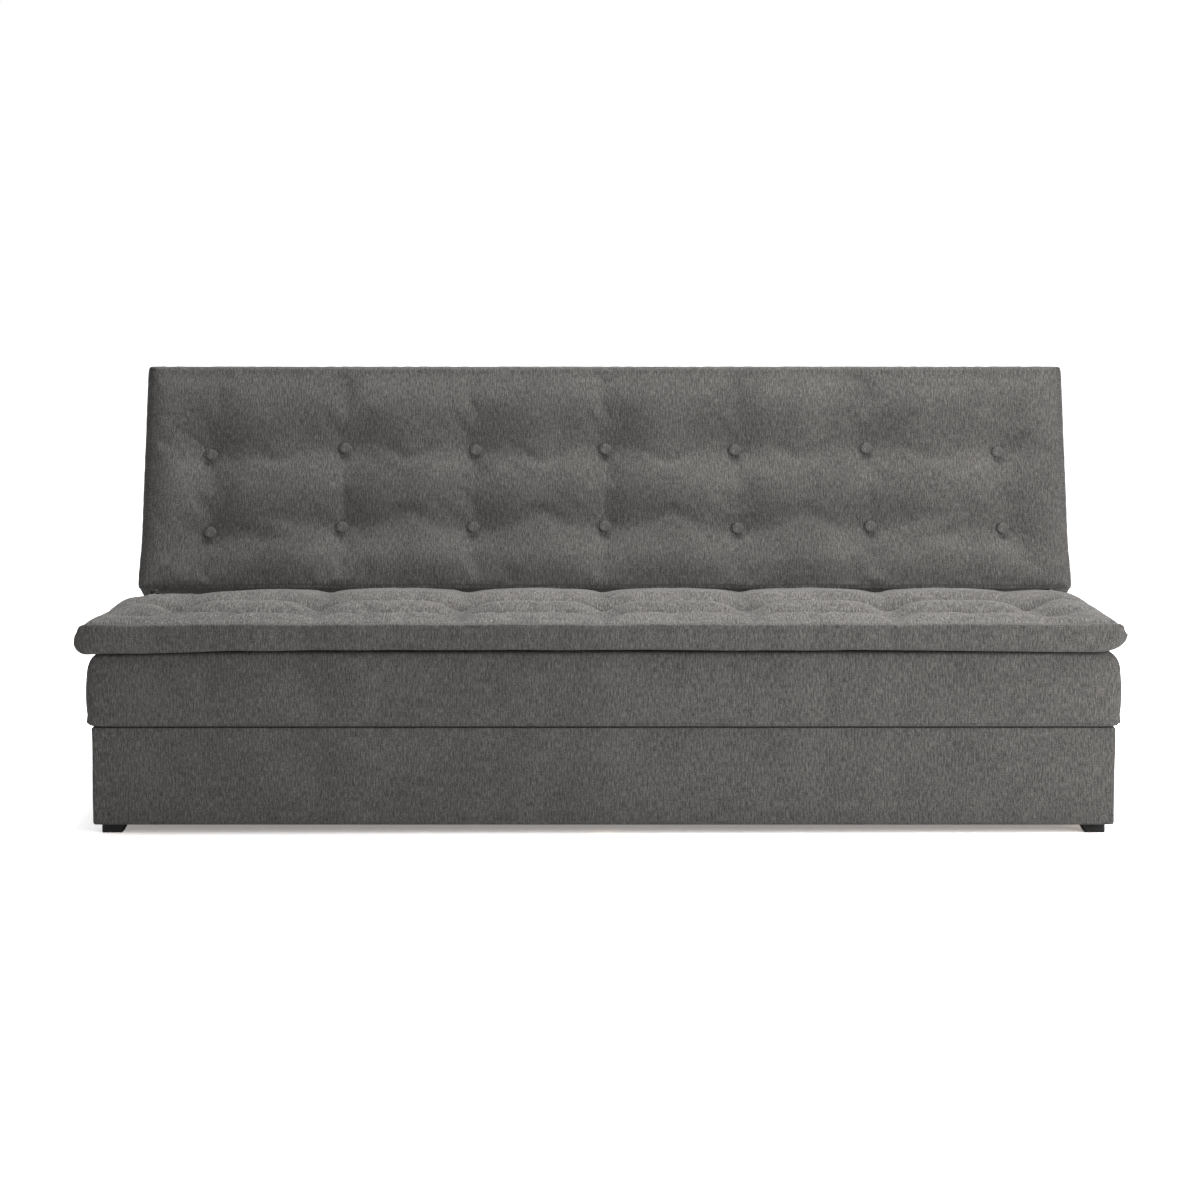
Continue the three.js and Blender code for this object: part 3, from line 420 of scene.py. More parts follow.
def seamed(obj, station, at, depth, width, pucker, seed):
    """Sinks a seam into a pad at one station down its sides, with small gathers beside it."""
    co, normal = read(obj, "co"), read(obj, "normal")
    away = (read(obj, "station") - station) * at
    along = np.where(abs(normal[:, 0]) > 0.7, co[:, 1], co[:, 0])
    wander = 0.8 * width * noise(along / (70 * MM), 0 * along, seed + 1)
    gather = noise(along / (9 * MM), co[:, 2] / (60 * MM), seed) * bell(away, 6 * width)
    lips = bell(abs(away - wander) - 2.2 * width, width)
    move = -depth * bell(away - wander, width) + 0.35 * depth * lips + pucker * gather
    move[read(obj, "station") < 1e-6] = 0
    write_places(obj, co + normal * move[:, None])


def stroked(obj, strokes):
    """Presses short tapering wrinkles into a front that faces +Z: (x, y, x, y, depth, width) each."""
    co = read(obj, "co")
    flat = co[:, :2]
    front = smooth(read(obj, "normal")[:, 2] * 2)
    for x0, y0, x1, y1, depth, width in strokes:
        start, run = np.array([x0, y0]), np.array([x1 - x0, y1 - y0])
        length = np.hypot(*run)
        share = np.clip((flat - start) @ run / length ** 2, 0, 1)
        away = (flat - start - share[:, None] * run) @ np.array([-run[1], run[0]]) / length
        beyond = np.hypot(*(flat - start - share[:, None] * run).T)
        taper = np.sin(math.pi * np.clip(0.12 + 0.88 * share, 0, 1)) ** 0.7
        fold = -bell(away, width) + 0.7 * bell(away - 1.7 * width, width)
        co[:, 2] += depth * taper * front * fold * (beyond < 5 * width)
    write_places(obj, co)


# Materials

class Finish:
    """A procedural material, with short calls to add and join its nodes."""

    def __init__(self, name):
        self.material = bpy.data.materials.new(name)
        self.material.use_nodes = True
        self.nodes = self.material.node_tree.nodes
        self.links = self.material.node_tree.links
        self.shader = self.nodes["Principled BSDF"]

    def add(self, kind, inputs=None, **settings):
        node = self.nodes.new(kind)
        for title, value in settings.items():
            setattr(node, title, value)
        for title, value in (inputs or {}).items():
            if isinstance(value, bpy.types.NodeSocket):
                self.links.new(value, node.inputs[title])
            else:
                node.inputs[title].default_value = value
        return node

    def set(self, **values):
        for title, value in values.items():
            title = title.replace("_", " ").title().replace("Ior", "IOR").replace("Bsdf", "BSDF")
            if isinstance(value, bpy.types.NodeSocket):
                self.links.new(value, self.shader.inputs[title])
            else:
                self.shader.inputs[title].default_value = value

    def scaled(self, vector, scale):
        return self.add("ShaderNodeMapping", {"Vector": vector, "Scale": scale}).outputs[0]

    def noise(self, vector, scale=(1, 1, 1), detail=2.0, roughness=0.5, dimensions="3D"):
        node = self.add(
            "ShaderNodeTexNoise",
            {"Vector": self.scaled(vector, scale), "Scale": 1.0, "Detail": detail, "Roughness": roughness},
            noise_dimensions=dimensions,
        )
        return node.outputs[0]

    def math(self, operation, a, b=0.0):
        return self.add("ShaderNodeMath", {0: a, 1: b}, operation=operation).outputs[0]

    def ramp(self, factor, *stops):
        node = self.add("ShaderNodeValToRGB", {"Fac": factor})
        elements = node.color_ramp.elements
        while len(elements) < len(stops):
            elements.new(0.5)
        for element, (position, colour) in zip(elements, stops):
            element.position = position
            element.color = (*colour, 1)
        return node.outputs[0]

    def bump(self, height, strength, distance, normal=None):
        inputs = {"Height": height, "Strength": strength, "Distance": distance}
        if normal is not None:
            inputs["Normal"] = normal
        return self.add("ShaderNodeBump", inputs).outputs[0]


def grey(level, warmth=0.045):
    """A slightly warm grey of that linear level."""
    return (level * (1 + warmth), level, level * (1 - warmth))


def chenille(name, level, slub=(480, 46, 1), nub=(760, 420, 1), tuft=(340, 110, 1), reach=0.14):
    """Heathered grey upholstery cloth: fine upright slubs, nubs of pile and soft clouds, with painted crease shade
    where the piece carries it.
    """
    f = Finish(name)
    cloth = f.add("ShaderNodeUVMap", uv_map="cloth").outputs[0]
    slubs = f.noise(cloth, slub, 2, 0.6, "2D")
    nubs = f.noise(cloth, nub, 1, 0.5, "2D")
    tufts = f.noise(cloth, tuft, 1, 0.5, "2D")
    clouds = f.noise(cloth, (11, 6, 1), 3, 0.55, "2D")
    tone = f.math("ADD", f.math("MULTIPLY", slubs, 0.3), f.math("MULTIPLY", nubs, 0.36))
    tone = f.math("ADD", tone, f.math("MULTIPLY", tufts, 0.24))
    tone = f.math("ADD", tone, f.math("MULTIPLY", clouds, 0.1))
    # Painted shade: the piece's crease-shade attribute pulls the tone towards the dark end of the ramp
    brush_marks_and_painted_shade = f.add("ShaderNodeAttribute", attribute_name="painted_crease_shade").outputs["Fac"]
    tone = f.math("SUBTRACT", tone, f.math("MULTIPLY", brush_marks_and_painted_shade, 0.6 * reach))
    colour = f.ramp(tone, (0.5 - reach, grey(level * 0.48)), (0.5, grey(level)),
                    (0.5 + reach, grey(level * 1.85)))
    height = f.math("ADD", nubs, f.math("MULTIPLY", f.math("ADD", slubs, tufts), 0.8))
    f.set(base_color=colour, roughness=0.92, specular_ior_level=0.18,
          sheen_weight=0.15, sheen_roughness=0.45, normal=f.bump(height, 0.8, 1.0 * MM))
    f.shader.inputs["Sheen Tint"].default_value = (0.85, 0.84, 0.83, 1)
    return f.material


def lining(name, level):
    """Black non-woven lining: a pressed grid of tiny squares."""
    f = Finish(name)
    place = f.add("ShaderNodeTexCoord").outputs["Object"]
    dots = f.add("ShaderNodeTexVoronoi", {"Vector": f.scaled(place, (700, 700, 700)), "Scale": 1.0,
                                          "Randomness": 0.1}).outputs["Distance"]
    fuzz = f.noise(place, (160, 160, 160), 4)
    colour = f.ramp(fuzz, (0.3, grey(level * 0.7)), (0.7, grey(level * 1.4)))
    f.set(base_color=colour, roughness=0.88, specular_ior_level=0.2, normal=f.bump(dots, 0.35, 0.3 * MM))
    return f.material


def strapping(name, level):
    """Ribbed elastic webbing in black, with fine cords along it."""
    f = Finish(name)
    place = f.add("ShaderNodeTexCoord").outputs["Object"]
    weave = f.noise(place, (420, 420, 90), 2)
    cords = f.add("ShaderNodeTexVoronoi", {"Vector": f.scaled(place, (500, 500, 500)), "Scale": 1.0,
                                           "Randomness": 0.3}).outputs["Distance"]
    colour = f.ramp(weave, (0.35, grey(level * 0.6)), (0.65, grey(level * 1.6)))
    f.set(base_color=colour, roughness=0.8, specular_ior_level=0.25, normal=f.bump(cords, 0.5, 0.4 * MM))
    return f.material


def timber(name, light, dark, along="x"):
    """Sawn pine: growth rings stretched along the piece, with fine pores."""
    f = Finish(name)
    place = f.add("ShaderNodeTexCoord").outputs["Object"]
    scale = {"x": (3, 40, 40), "y": (40, 3, 40), "z": (40, 40, 3)}[along]
    fine = {"x": (30, 600, 600), "y": (600, 30, 600), "z": (600, 600, 30)}[along]
    grain = f.noise(place, scale, 4, 0.6)
    pores = f.noise(place, fine, 2)
    tone = f.math("ADD", f.math("MULTIPLY", grain, 0.75), f.math("MULTIPLY", pores, 0.25))
    colour = f.ramp(tone, (0.35, dark), (0.62, light))
    f.set(base_color=colour, roughness=0.62, specular_ior_level=0.3, normal=f.bump(pores, 0.2, 0.3 * MM))
    return f.material


def plastic():
    f = Finish("black_plastic")
    place = f.add("ShaderNodeTexCoord").outputs["Object"]
    grain = f.noise(place, (900, 900, 900), 3)
    scuffs = f.noise(place, (60, 60, 60), 3)
    f.set(base_color=f.ramp(scuffs, (0.35, grey(0.006)), (0.7, grey(0.012))),
          roughness=f.math("ADD", f.math("MULTIPLY", scuffs, 0.2), 0.38),
          normal=f.bump(grain, 0.15, 0.2 * MM))
    return f.material


def steel(name, level, roughness):
    f = Finish(name)
    place = f.add("ShaderNodeTexCoord").outputs["Object"]
    spangle = f.noise(place, (90, 90, 90), 4)
    brush_marks_and_painted_shade = f.noise(place, (40, 900, 40), 2)
    f.set(base_color=f.ramp(spangle, (0.35, grey(level * 0.8, -0.01)), (0.65, grey(level, -0.01))),
          metallic=1.0, roughness=f.math("ADD", f.math("MULTIPLY", spangle, 0.25), roughness - 0.1),
          normal=f.bump(brush_marks_and_painted_shade, 0.08, 0.1 * MM))
    return f.material


CLOTH_LEVEL = 0.115
CHENILLE = chenille("grey_chenille", CLOTH_LEVEL)
# Painted light: a brighter copy of the same cloth for the seat topper's upward-facing top panel, where the top light
# falls; its coarser speckle also paints lit pile tips and shaded gaps
PAINTED_LIT_TOP_CHENILLE = chenille("grey_chenille_painted_lit_top", CLOTH_LEVEL * 1.27, (460, 40, 1), (620, 120, 1), (330, 60, 1), 0.132)
LINING = lining("black_lining", 0.012)
STRAPPING = strapping("black_webbing", 0.014)
PINE_ALONG = timber("pine_lengthways", (0.62, 0.42, 0.22), (0.40, 0.24, 0.11), "x")
PINE_ACROSS = timber("pine_crossways", (0.60, 0.41, 0.22), (0.38, 0.23, 0.11), "y")
BOARD = timber("brown_board", (0.34, 0.22, 0.13), (0.25, 0.155, 0.09), "x")
PLASTIC = plastic()
ZINC = steel("zinc_plated_steel", 0.62, 0.38)
SPRING = steel("spring_steel", 0.36, 0.34)


# Pieces

def dressed(obj, material, body, nodes=()):
    obj.data.materials.clear()
    obj.data.materials.append(material)
    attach(obj, body)
    if nodes:
        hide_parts(*nodes)
    return obj


def placed(obj, place):
    obj.data.transform(place)
    return obj


def stations(roll, wall, tuck, rim=0, inside=0):
    parts = [np.linspace(0, 1, roll + 1), np.linspace(1, 2, wall + 1)[1:], np.linspace(2, 3, tuck + 1)[1:]]
    if rim:
        parts += [np.linspace(3, 4, rim + 1)[1:], np.linspace(4, 5, inside + 1)[1:]]
    return np.concatenate(parts)


SPACING = 9 * MM


TOPPER_SAG = 4 * MM


def left_sag(x):
    """How much of its sag the seat takes towards its left end."""
    return smooth((-x - 620 * MM) / (300 * MM))


def seat_topper():
    low, high = topper_low, topper_high
    crown = 4 * MM
    swell = 10 * MM
    top = high[2] - crown - swell
    height = top - low[2]
    edge = dict(height=height, roll=54 * MM, drop=8 * MM, under=11 * MM, lift=16 * MM)
    end = dict(height=height, roll=76 * MM, drop=34 * MM, under=20 * MM, lift=22 * MM)
    nose = dict(height=height, roll=52 * MM, drop=44 * MM, under=5.5 * MM, lift=5.5 * MM)
    marks = stations(9, 3, 6)
    pillows = tufted(SEAT_TUFTS, 29 * MM, 17 * MM, lambda away: (1 - smooth(away / (80 * MM))) ** 2, 0.26, crown,
                     low[1] + 30 * MM, high[1] - 22 * MM, high[0] - 50 * MM)

    def relief(x, y):
        fall = (9 + 7 * smooth((-x - 500 * MM) / (350 * MM)) + 3 * smooth((x - 750 * MM) / (150 * MM))
                + 4 * smooth((-x - 780 * MM) / (120 * MM))) * MM
        rise = 6.5 * MM * smooth((y - low[1] - 25 * MM) / (60 * MM)) * (1 - smooth((y - high[1] + 300 * MM) / (160 * MM)))
        rise *= 1 - smooth((-x - 760 * MM) / (120 * MM))
        front = 4 * MM * (1 - smooth((y - low[1] - 50 * MM) / (110 * MM)))
        return pillows(x, y) + rise - front - fall * smooth((y - high[1] + 300 * MM) / (250 * MM))

    pad = Pad(high[0], low[1], high[1], top, {"ends": end, "front": edge, "rear": nose}, marks,
              (10 * MM, 34 * MM), SPACING, relief, seam=0.7, draw_in=2 * MM)
    obj = pad.mesh("tufted_seat_topper")
    co, station = read(obj, "co"), read(obj, "station")
    across, along = SEAT_TUFTS.distances(co[:, 0], co[:, 1])
    creased = np.clip(-(pillows(co[:, 0], co[:, 1]) + 9 * MM) / (5 * MM), 0, 1)
    pins = np.where(station == 0, np.maximum(bell(np.hypot(across, along), 13 * MM), 0.85 * creased), 0)
    pins = np.maximum(pins, smooth((station - 1.8) / 0.6))
    front = smooth((low[1] + 90 * MM - co[:, 1]) / (30 * MM)) * smooth((900 * MM - abs(co[:, 0])) / (90 * MM))
    pins = np.maximum(pins, 0.8 * bell(station - 0.75, 0.3) * front)
    pins = np.maximum(pins, 0.9 * smooth((co[:, 1] - high[1] + 50 * MM) / (40 * MM)) * smooth(station - 0.2))
    # Painted shade: darkens the top panel's cloth along the tuft rows, round each tuft and faintly along the columns,
    # where the creases fall in shade; it fades out towards the ends
    side = smooth((high[0] - 60 * MM - abs(co[:, 0])) / (60 * MM)) * (station == 0)
    painted_crease_shade = np.maximum(0.8 * bell(along, 36 * MM), 0.85 * bell(np.hypot(across, along), 48 * MM))
    painted_crease_shade = np.maximum(painted_crease_shade, 0.3 * bell(across, 26 * MM)) * side
    obj.data.attributes.new("painted_crease_shade", "FLOAT", "POINT").data.foreach_set("value", painted_crease_shade.astype(np.float32))
    inflate(obj, np.clip(pins, 0, 1), 3.5, 16, 12 * MM, slack=0.02)
    subdivided(obj)
    seamed(obj, 0.667, 42 * MM, 1.3 * MM, 2 * MM, 0.8 * MM, 11)
    co, station = read(obj, "co"), read(obj, "station")
    lift = 3 * MM * (1 - smooth((abs(co[:, 0]) - 480 * MM) / (380 * MM)))
    co[:, 2] += lift * smooth((station - 0.8) / 0.6) * smooth((low[1] + 150 * MM - co[:, 1]) / (90 * MM))
    co[:, 0] -= (np.where(co[:, 0] < 0, 4, 7) * MM) * smooth((abs(co[:, 0]) - 700 * MM) / (200 * MM))
    hang = smooth((station - 0.6) / 0.8)
    tip = smooth((abs(co[:, 0]) - 885 * MM) / (65 * MM))
    behind = smooth((co[:, 1] - low[1] - 120 * MM) / (120 * MM)) * smooth((-co[:, 0] - 840 * MM) / (60 * MM))
    co[:, 2] -= 4 * MM * behind * smooth((2 - station) / 1.5)
    sag = np.where(co[:, 0] < 0, TOPPER_SAG * left_sag(co[:, 0]) + 4 * MM * tip, -8 * MM * tip)
    co[:, 2] -= hang * sag
    co[:, 2] += hang * 0.9 * MM * (1 + noise(co[:, 0] / (75 * MM), co[:, 1] / (150 * MM), 12))
    write_places(obj, co)
    dressed(obj, CHENILLE, "seat", ["seat_topper"])
    # Painted light: the upward-facing faces of the top panel, above the seam, take the brighter copy of the cloth
    obj.data.materials.append(PAINTED_LIT_TOP_CHENILLE)
    for face in obj.data.polygons:
        face.material_index = int(max(station[v] for v in face.vertices) < 0.67 and face.normal.z > 0)


def seat_cushion():
    low, high = local_box("seat_lower_cushion", SEAT_FRAME)
    frame_low, frame_high = local_box("seat_frame", SEAT_FRAME)
    webbing_high = local_box("seat_webbing", SEAT_FRAME)[1]
    gap = 0.6 * MM
    height = high[2] - low[2]
    shared = dict(height=height, under=5 * MM, lift=5 * MM, belly=2 * MM, ceiling=high[2] - webbing_high[2] - gap)
    wall = high[0] - frame_high[0] - gap
    edge = dict(roll=18 * MM, drop=18 * MM, wall=wall, **shared)
    ends = dict(roll=30 * MM, drop=36 * MM, wall=wall, **shared)
    rear = dict(roll=9 * MM, drop=9 * MM, wall=wall, **shared)
    pad = Pad(high[0], low[1], high[1], high[2], {"ends": ends, "front": edge, "rear": rear},
              stations(6, 13, 4, 2, 6), (8 * MM, 22 * MM), SPACING,
              lambda x, y: -TOPPER_SAG * left_sag(x), seam=0)
    obj = pad.mesh("lower_seat_cushion")
    station = read(obj, "station")
    pins = np.maximum(1 - smooth((station - 0.2) / 0.5), smooth((station - 1.9) / 0.4))
    inflate(obj, pins, 2.0, 12, 5 * MM, slack=0.004)
    subdivided(obj)
    co, station, normal = read(obj, "co"), read(obj, "station"), read(obj, "normal")
    lip = bell(station - 2.1, 0.25)
    crease = bell(station - 1.84, 0.08)
    wave = noise(co[:, 0] / (85 * MM), co[:, 1] / (85 * MM), 21)
    pucker = noise(co[:, 0] / (17 * MM), co[:, 1] / (17 * MM), 22) * bell(station - 2, 0.35)
    normal[:, 2] = 0
    co += normal * (2.6 * MM * lip - 1.2 * MM * crease + 0.7 * MM * pucker)[:, None]
    rise = 2.6 * MM * (1 + 0.7 * wave) * (1 - 0.7 * left_sag(co[:, 0]))
    co[:, 2] += rise * smooth(1 - abs(station - 2.4) / 0.8)
    top = smooth((1 - station) / 0.6) * smooth((co[:, 2] - low[2] - 0.5 * height) / (0.3 * height))
    co[:, 2] -= (1 - top) * TOPPER_SAG * left_sag(co[:, 0]) * smooth((1.3 - station) / 0.6)
    write_places(obj, co)
    dressed(obj, CHENILLE, "seat", ["seat_lower_cushion"])


def back_wrinkles():
    """The short wrinkles that pull at the outer buttons, and the pulls between the rows."""
    left, right = 0, COLUMNS - 1
    (lx, ly), (rx, ry) = ((BACK_TUFTS.x[1][n], BACK_TUFTS.y[1][n]) for n in (left, right))
    bx, by = BACK_TUFTS.x[0][right], BACK_TUFTS.y[0][right]
    strokes = [
        (lx - 12 * MM, ly + 14 * MM, lx - 52 * MM, ly + 46 * MM, 1.6 * MM, 5 * MM),
        (lx - 2 * MM, ly + 18 * MM, lx - 14 * MM, ly + 62 * MM, 1.2 * MM, 5 * MM),
        (rx + 12 * MM, ry - 14 * MM, rx + 44 * MM, ry - 62 * MM, 1.6 * MM, 5 * MM),
        (rx + 14 * MM, ry + 12 * MM, rx + 78 * MM, ry + 44 * MM, 1.2 * MM, 6 * MM),
        (bx + 13 * MM, by - 8 * MM, bx + 46 * MM, by - 40 * MM, 1.8 * MM, 4 * MM),
        (bx + 20 * MM, by - 3 * MM, bx + 60 * MM, by - 22 * MM, 1.5 * MM, 4 * MM),
    ]
    for column in range(1, COLUMNS):
        low_x, high_x = BACK_TUFTS.x[0][column], BACK_TUFTS.x[1][column]
        low_y, high_y = BACK_TUFTS.y[0][column], BACK_TUFTS.y[1][column]
        strokes.append((low_x, low_y + 16 * MM, high_x, high_y - 16 * MM, 1.3 * MM, 6 * MM))
    return strokes


def back_cushion():
    low, high = local_box("back_cushion", BACK_FRAME)
    frame_low, frame_high = local_box("back_frame", BACK_FRAME)
    board_high = local_box("back_board", BACK_FRAME)[1]
    gap = 0.6 * MM
    crown = 4 * MM
    swell = 5 * MM
    top = high[2] - crown - swell
    low[1] -= 5 * MM
    wall = frame_low[1] - low[1] - gap
    shared = dict(height=top - low[2], under=4.5 * MM, lift=4.5 * MM, ceiling=top - board_high[2] - gap)
    ends = dict(roll=28 * MM, drop=28 * MM, wall=high[0] - frame_high[0] - gap, **shared)
    foot = dict(roll=13 * MM, drop=13 * MM, wall=wall, **shared)
    head = dict(roll=12 * MM, drop=12 * MM, wall=wall, **shared)
    relief = tufted(BACK_TUFTS, 18 * MM, 6.5 * MM, lambda away: (1 - smooth(away / (0.42 * PITCH))) ** 2, 0.35,
                    crown, low[1] + 22 * MM, high[1] - 12 * MM, high[0] - 28 * MM)
    pad = Pad(high[0], low[1], high[1], top, {"ends": ends, "front": foot, "rear": head},
              stations(5, 11, 3, 2, 5), (5 * MM, 9 * MM), SPACING, relief, seam=0.6)
    obj = pad.mesh("tufted_back_cushion")
    co, station = read(obj, "co"), read(obj, "station")
    across, along = BACK_TUFTS.distances(co[:, 0], co[:, 1])
    pins = np.where(station == 0, bell(np.hypot(across, along), 15 * MM), 0)
    pins = np.maximum(pins, smooth((station - 1.7) / 0.6))
    rim = np.maximum(smooth((co[:, 1] - high[1] + 40 * MM) / (30 * MM)), smooth((station - 0.4) / 0.5))
    pins = np.maximum(pins, 0.75 * rim)
    inflate(obj, np.clip(pins, 0, 1), 2.4, 16, 9 * MM, slack=0.006)
    subdivided(obj)
    seamed(obj, 0.5, 20 * MM, 1.4 * MM, 1.6 * MM, 0.6 * MM, 51)
    stroked(obj, back_wrinkles())
    co = read(obj, "co")
    foot = smooth((low[1] + 110 * MM - co[:, 1]) / (110 * MM))
    lap = smooth((low[1] + 60 * MM - co[:, 1]) / (60 * MM)) * smooth((co[:, 2] - 6 * MM) / (20 * MM))
    co[:, 1] -= 7 * MM * lap
    wider = np.where(co[:, 0] > 0, 6 * MM + 4 * MM * foot, 4 * MM * foot)
    co[:, 0] += np.sign(co[:, 0]) * wider * smooth((abs(co[:, 0]) - 600 * MM) / (300 * MM))
    write_places(obj, co)
    placed(obj, BACK_FRAME)
    dressed(obj, CHENILLE, "backrest", ["back_cushion"])


def lathe(name, profile, segments):
    """A solid turned about Z from [radius, height] points that start and end on the axis."""
    ring = np.arange(segments) * 2 * math.pi / segments
    co, faces = [(0, 0, profile[0][1])], []
    for radius, height in profile[1:-1]:
        co += [(radius * math.cos(a), radius * math.sin(a), height) for a in ring]
    co.append((0, 0, profile[-1][1]))
    last = len(co) - 1
    for at in range(segments):
        following = (at + 1) % segments
        faces.append((0, 1 + following, 1 + at))
        for level in range(len(profile) - 3):
            a, b = 1 + level * segments + at, 1 + level * segments + following
            faces.append((a, b, b + segments, a + segments))
        end = 1 + (len(profile) - 3) * segments
        faces.append((last, end + at, end + following))
    mesh = bpy.data.meshes.new(name)
    mesh.from_pydata(co, [], faces)
    mesh.shade_smooth()
    obj = bpy.data.objects.new(name, mesh)
    bpy.context.scene.collection.objects.link(obj)
    return obj


def planar_cloth(obj):
    """Lays the cloth's threads along the piece's own X and Y."""
    mesh = obj.data
    uv = mesh.uv_layers.new(name="cloth")
    for loop in mesh.loops:
        co = mesh.vertices[loop.vertex_index].co
        uv.data[loop.index].uv = (co.x, co.y)


def back_buttons():
    for (row, column), (_, _, base, top) in BUTTONS.items():
        line = BUTTON_ROWS.index(row)
        x, y = BACK_TUFTS.x[line][column - 1], BACK_TUFTS.y[line][column - 1]
        radius, height = 11.5 * MM, top - base
        profile = [(0, 0), (3 * MM, 0), (3 * MM, 0.34 * height), (0.86 * radius, 0.34 * height)]
        profile += [(radius, 0.4 * height), (radius, 0.5 * height), (0.96 * radius, 0.55 * height)]
        profile += [(0.86 * radius, 0.585 * height), (0.5 * radius, 0.61 * height), (0, 0.62 * height)]
        obj = lathe(f"tuft_button_{row}_{column}", profile, 32)
        planar_cloth(obj)
        placed(obj, BACK_FRAME @ Matrix.Translation((x, y, base)))
        dressed(obj, CHENILLE, "backrest", [f"back_button_{row}_{column}"])


def swept(name, section, half, front, rear, corner, steps, spacing):
    """A closed section of [inset, height] points swept round a rectangle with rounded corners."""
    turn = np.linspace(0, math.pi / 2, steps + 1)
    xs = np.linspace(-half + corner, half - corner, int((2 * half) / spacing))[1:-1]
    ys = np.linspace(front + corner, rear - corner, int((rear - front) / spacing))[1:-1]
    runs = []
    for (core_x, core_y), start in (
        ((-half + corner, front + corner), math.pi), ((half - corner, front + corner), 1.5 * math.pi),
        ((half - corner, rear - corner), 0), ((-half + corner, rear - corner), 0.5 * math.pi),
    ):
        angle = start + turn
        runs.append(np.stack([core_x + corner * np.cos(angle), core_y + corner * np.sin(angle),
                              np.cos(angle), np.sin(angle)], 1))
    straight = [
        np.stack([xs, 0 * xs + front, 0 * xs, 0 * xs - 1], 1), np.stack([0 * ys + half, ys, 0 * ys + 1, 0 * ys], 1),
        np.stack([xs[::-1], 0 * xs + rear, 0 * xs, 0 * xs + 1], 1),
        np.stack([0 * ys - half, ys[::-1], 0 * ys - 1, 0 * ys], 1),
    ]
    ring = np.concatenate([part for pair in zip(runs, straight) for part in pair])
    around, levels = len(ring), len(section)
    spread = np.concatenate([[0], np.cumsum(np.hypot(*(ring[1:, :2] - ring[:-1, :2]).T))])
    girth = spread[-1] + np.hypot(*(ring[0, :2] - ring[-1, :2]))
    following = np.append(spread[1:], girth)
    closed = np.array(list(section) + [section[0]])
    arc = path_lengths(closed)
    co = np.concatenate([
        np.stack([ring[:, 0] - ring[:, 2] * inset, ring[:, 1] - ring[:, 3] * inset, 0 * ring[:, 0] + height], 1)
        for inset, height in section
    ])
    faces, cloth = [], []
    at = np.arange(around)
    for level in range(levels):
        upper, lower = level * around + at, (level + 1) % levels * around + at
        faces.append(np.stack([upper, lower, np.roll(lower, -1), np.roll(upper, -1)], 1))
        high, low = 0 * spread - arc[level], 0 * spread - arc[level + 1]
        quad = [np.stack(pair, 1) for pair in ((spread, high), (spread, low), (following, low), (following, high))]
        cloth.append(np.stack(quad, 1).reshape(-1, 2))
    return meshed(name, co, np.concatenate(faces), np.concatenate(cloth))


def meshed(name, co, faces, cloth=None):
    mesh = bpy.data.meshes.new(name)
    mesh.from_pydata(np.asarray(co).tolist(), [], np.asarray(faces).tolist())
    if cloth is not None:
        uv = mesh.uv_layers.new(name="cloth")
        uv.data.foreach_set("uv", np.asarray(cloth, np.float32).ravel())
    mesh.shade_smooth()
    obj = bpy.data.objects.new(name, mesh)
    bpy.context.scene.collection.objects.link(obj)
    return obj


def box_cover():
    """Cloth stretched over the storage box and turned in over its upper and lower edges."""
    low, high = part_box("base_fabric_cover")
    panel_low, panel_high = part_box("base_left_panel")
    thick = panel_low.x - low.x - 0.3 * MM
    turn_in = panel_high.x - low.x
    upper, under = 2.5 * MM, 5 * MM
    turn = np.linspace(0, math.pi / 2, 5)
    outside = [(upper * (1 - math.sin(a)), high.z - upper * (1 - math.cos(a))) for a in turn]
    walls = [(0, z) for z in np.linspace(high.z - 2 * upper, low.z + 2 * under, 17)]
    lower = [(under * (1 - math.cos(a)), low.z + under * (1 - math.sin(a))) for a in turn]
    inner = [(turn_in, low.z), (turn_in, low.z + thick), (thick, low.z + thick),
             (thick, high.z - thick), (turn_in, high.z - thick), (turn_in, high.z)]
    obj = swept("base_cover", outside + walls + lower + inner, high.x, low.y, high.y, 6 * MM, 4, 12 * MM)
    co = read(obj, "co")
    along = np.where(abs(co[:, 1] - (low.y + high.y) / 2) > (high.y - low.y) / 2 - 8 * MM, co[:, 0], co[:, 1] + 3)
    outer = np.minimum(high.x - abs(co[:, 0]), np.minimum(co[:, 1] - low.y, high.y - co[:, 1])) < 0.5 * MM
    foot = bell(co[:, 2] - low.z - 12 * MM, 16 * MM) * outer
    head = bell(co[:, 2] - high.z + 10 * MM, 14 * MM) * outer
    soft = noise(along / (140 * MM), co[:, 2] / (90 * MM), 5) * 0.9 * MM
    pucker = noise(along / (22 * MM), co[:, 2] / (70 * MM), 6) * (0.9 * foot + 0.5 * head) * MM
    middle = smooth((co[:, 2] - low.z) / (25 * MM)) * smooth((high.z - co[:, 2]) / (25 * MM)) * outer
    move = (soft * middle + pucker)
    normal = read(obj, "normal")
    normal[:, 2] = 0
    write_places(obj, co + normal * move[:, None])
    subdivided(obj)
    dressed(obj, CHENILLE, "base", ["base_fabric_cover"])


def thin_slab(name, low, high, corner, edge, spacing, relief):
    """A thin closed panel with a rounded rim: a gridded face, a turned edge and a flat back."""
    pad = Pad(high[0], low[1], high[1], high[2],
              {side: dict(height=high[2] - low[2], roll=edge, drop=edge, under=edge / 3, lift=edge / 3)
               for side in ("ends", "front", "rear")},
              stations(3, 1, 2), (corner, corner + edge), spacing, relief, seam=3)
    return pad.mesh(name)


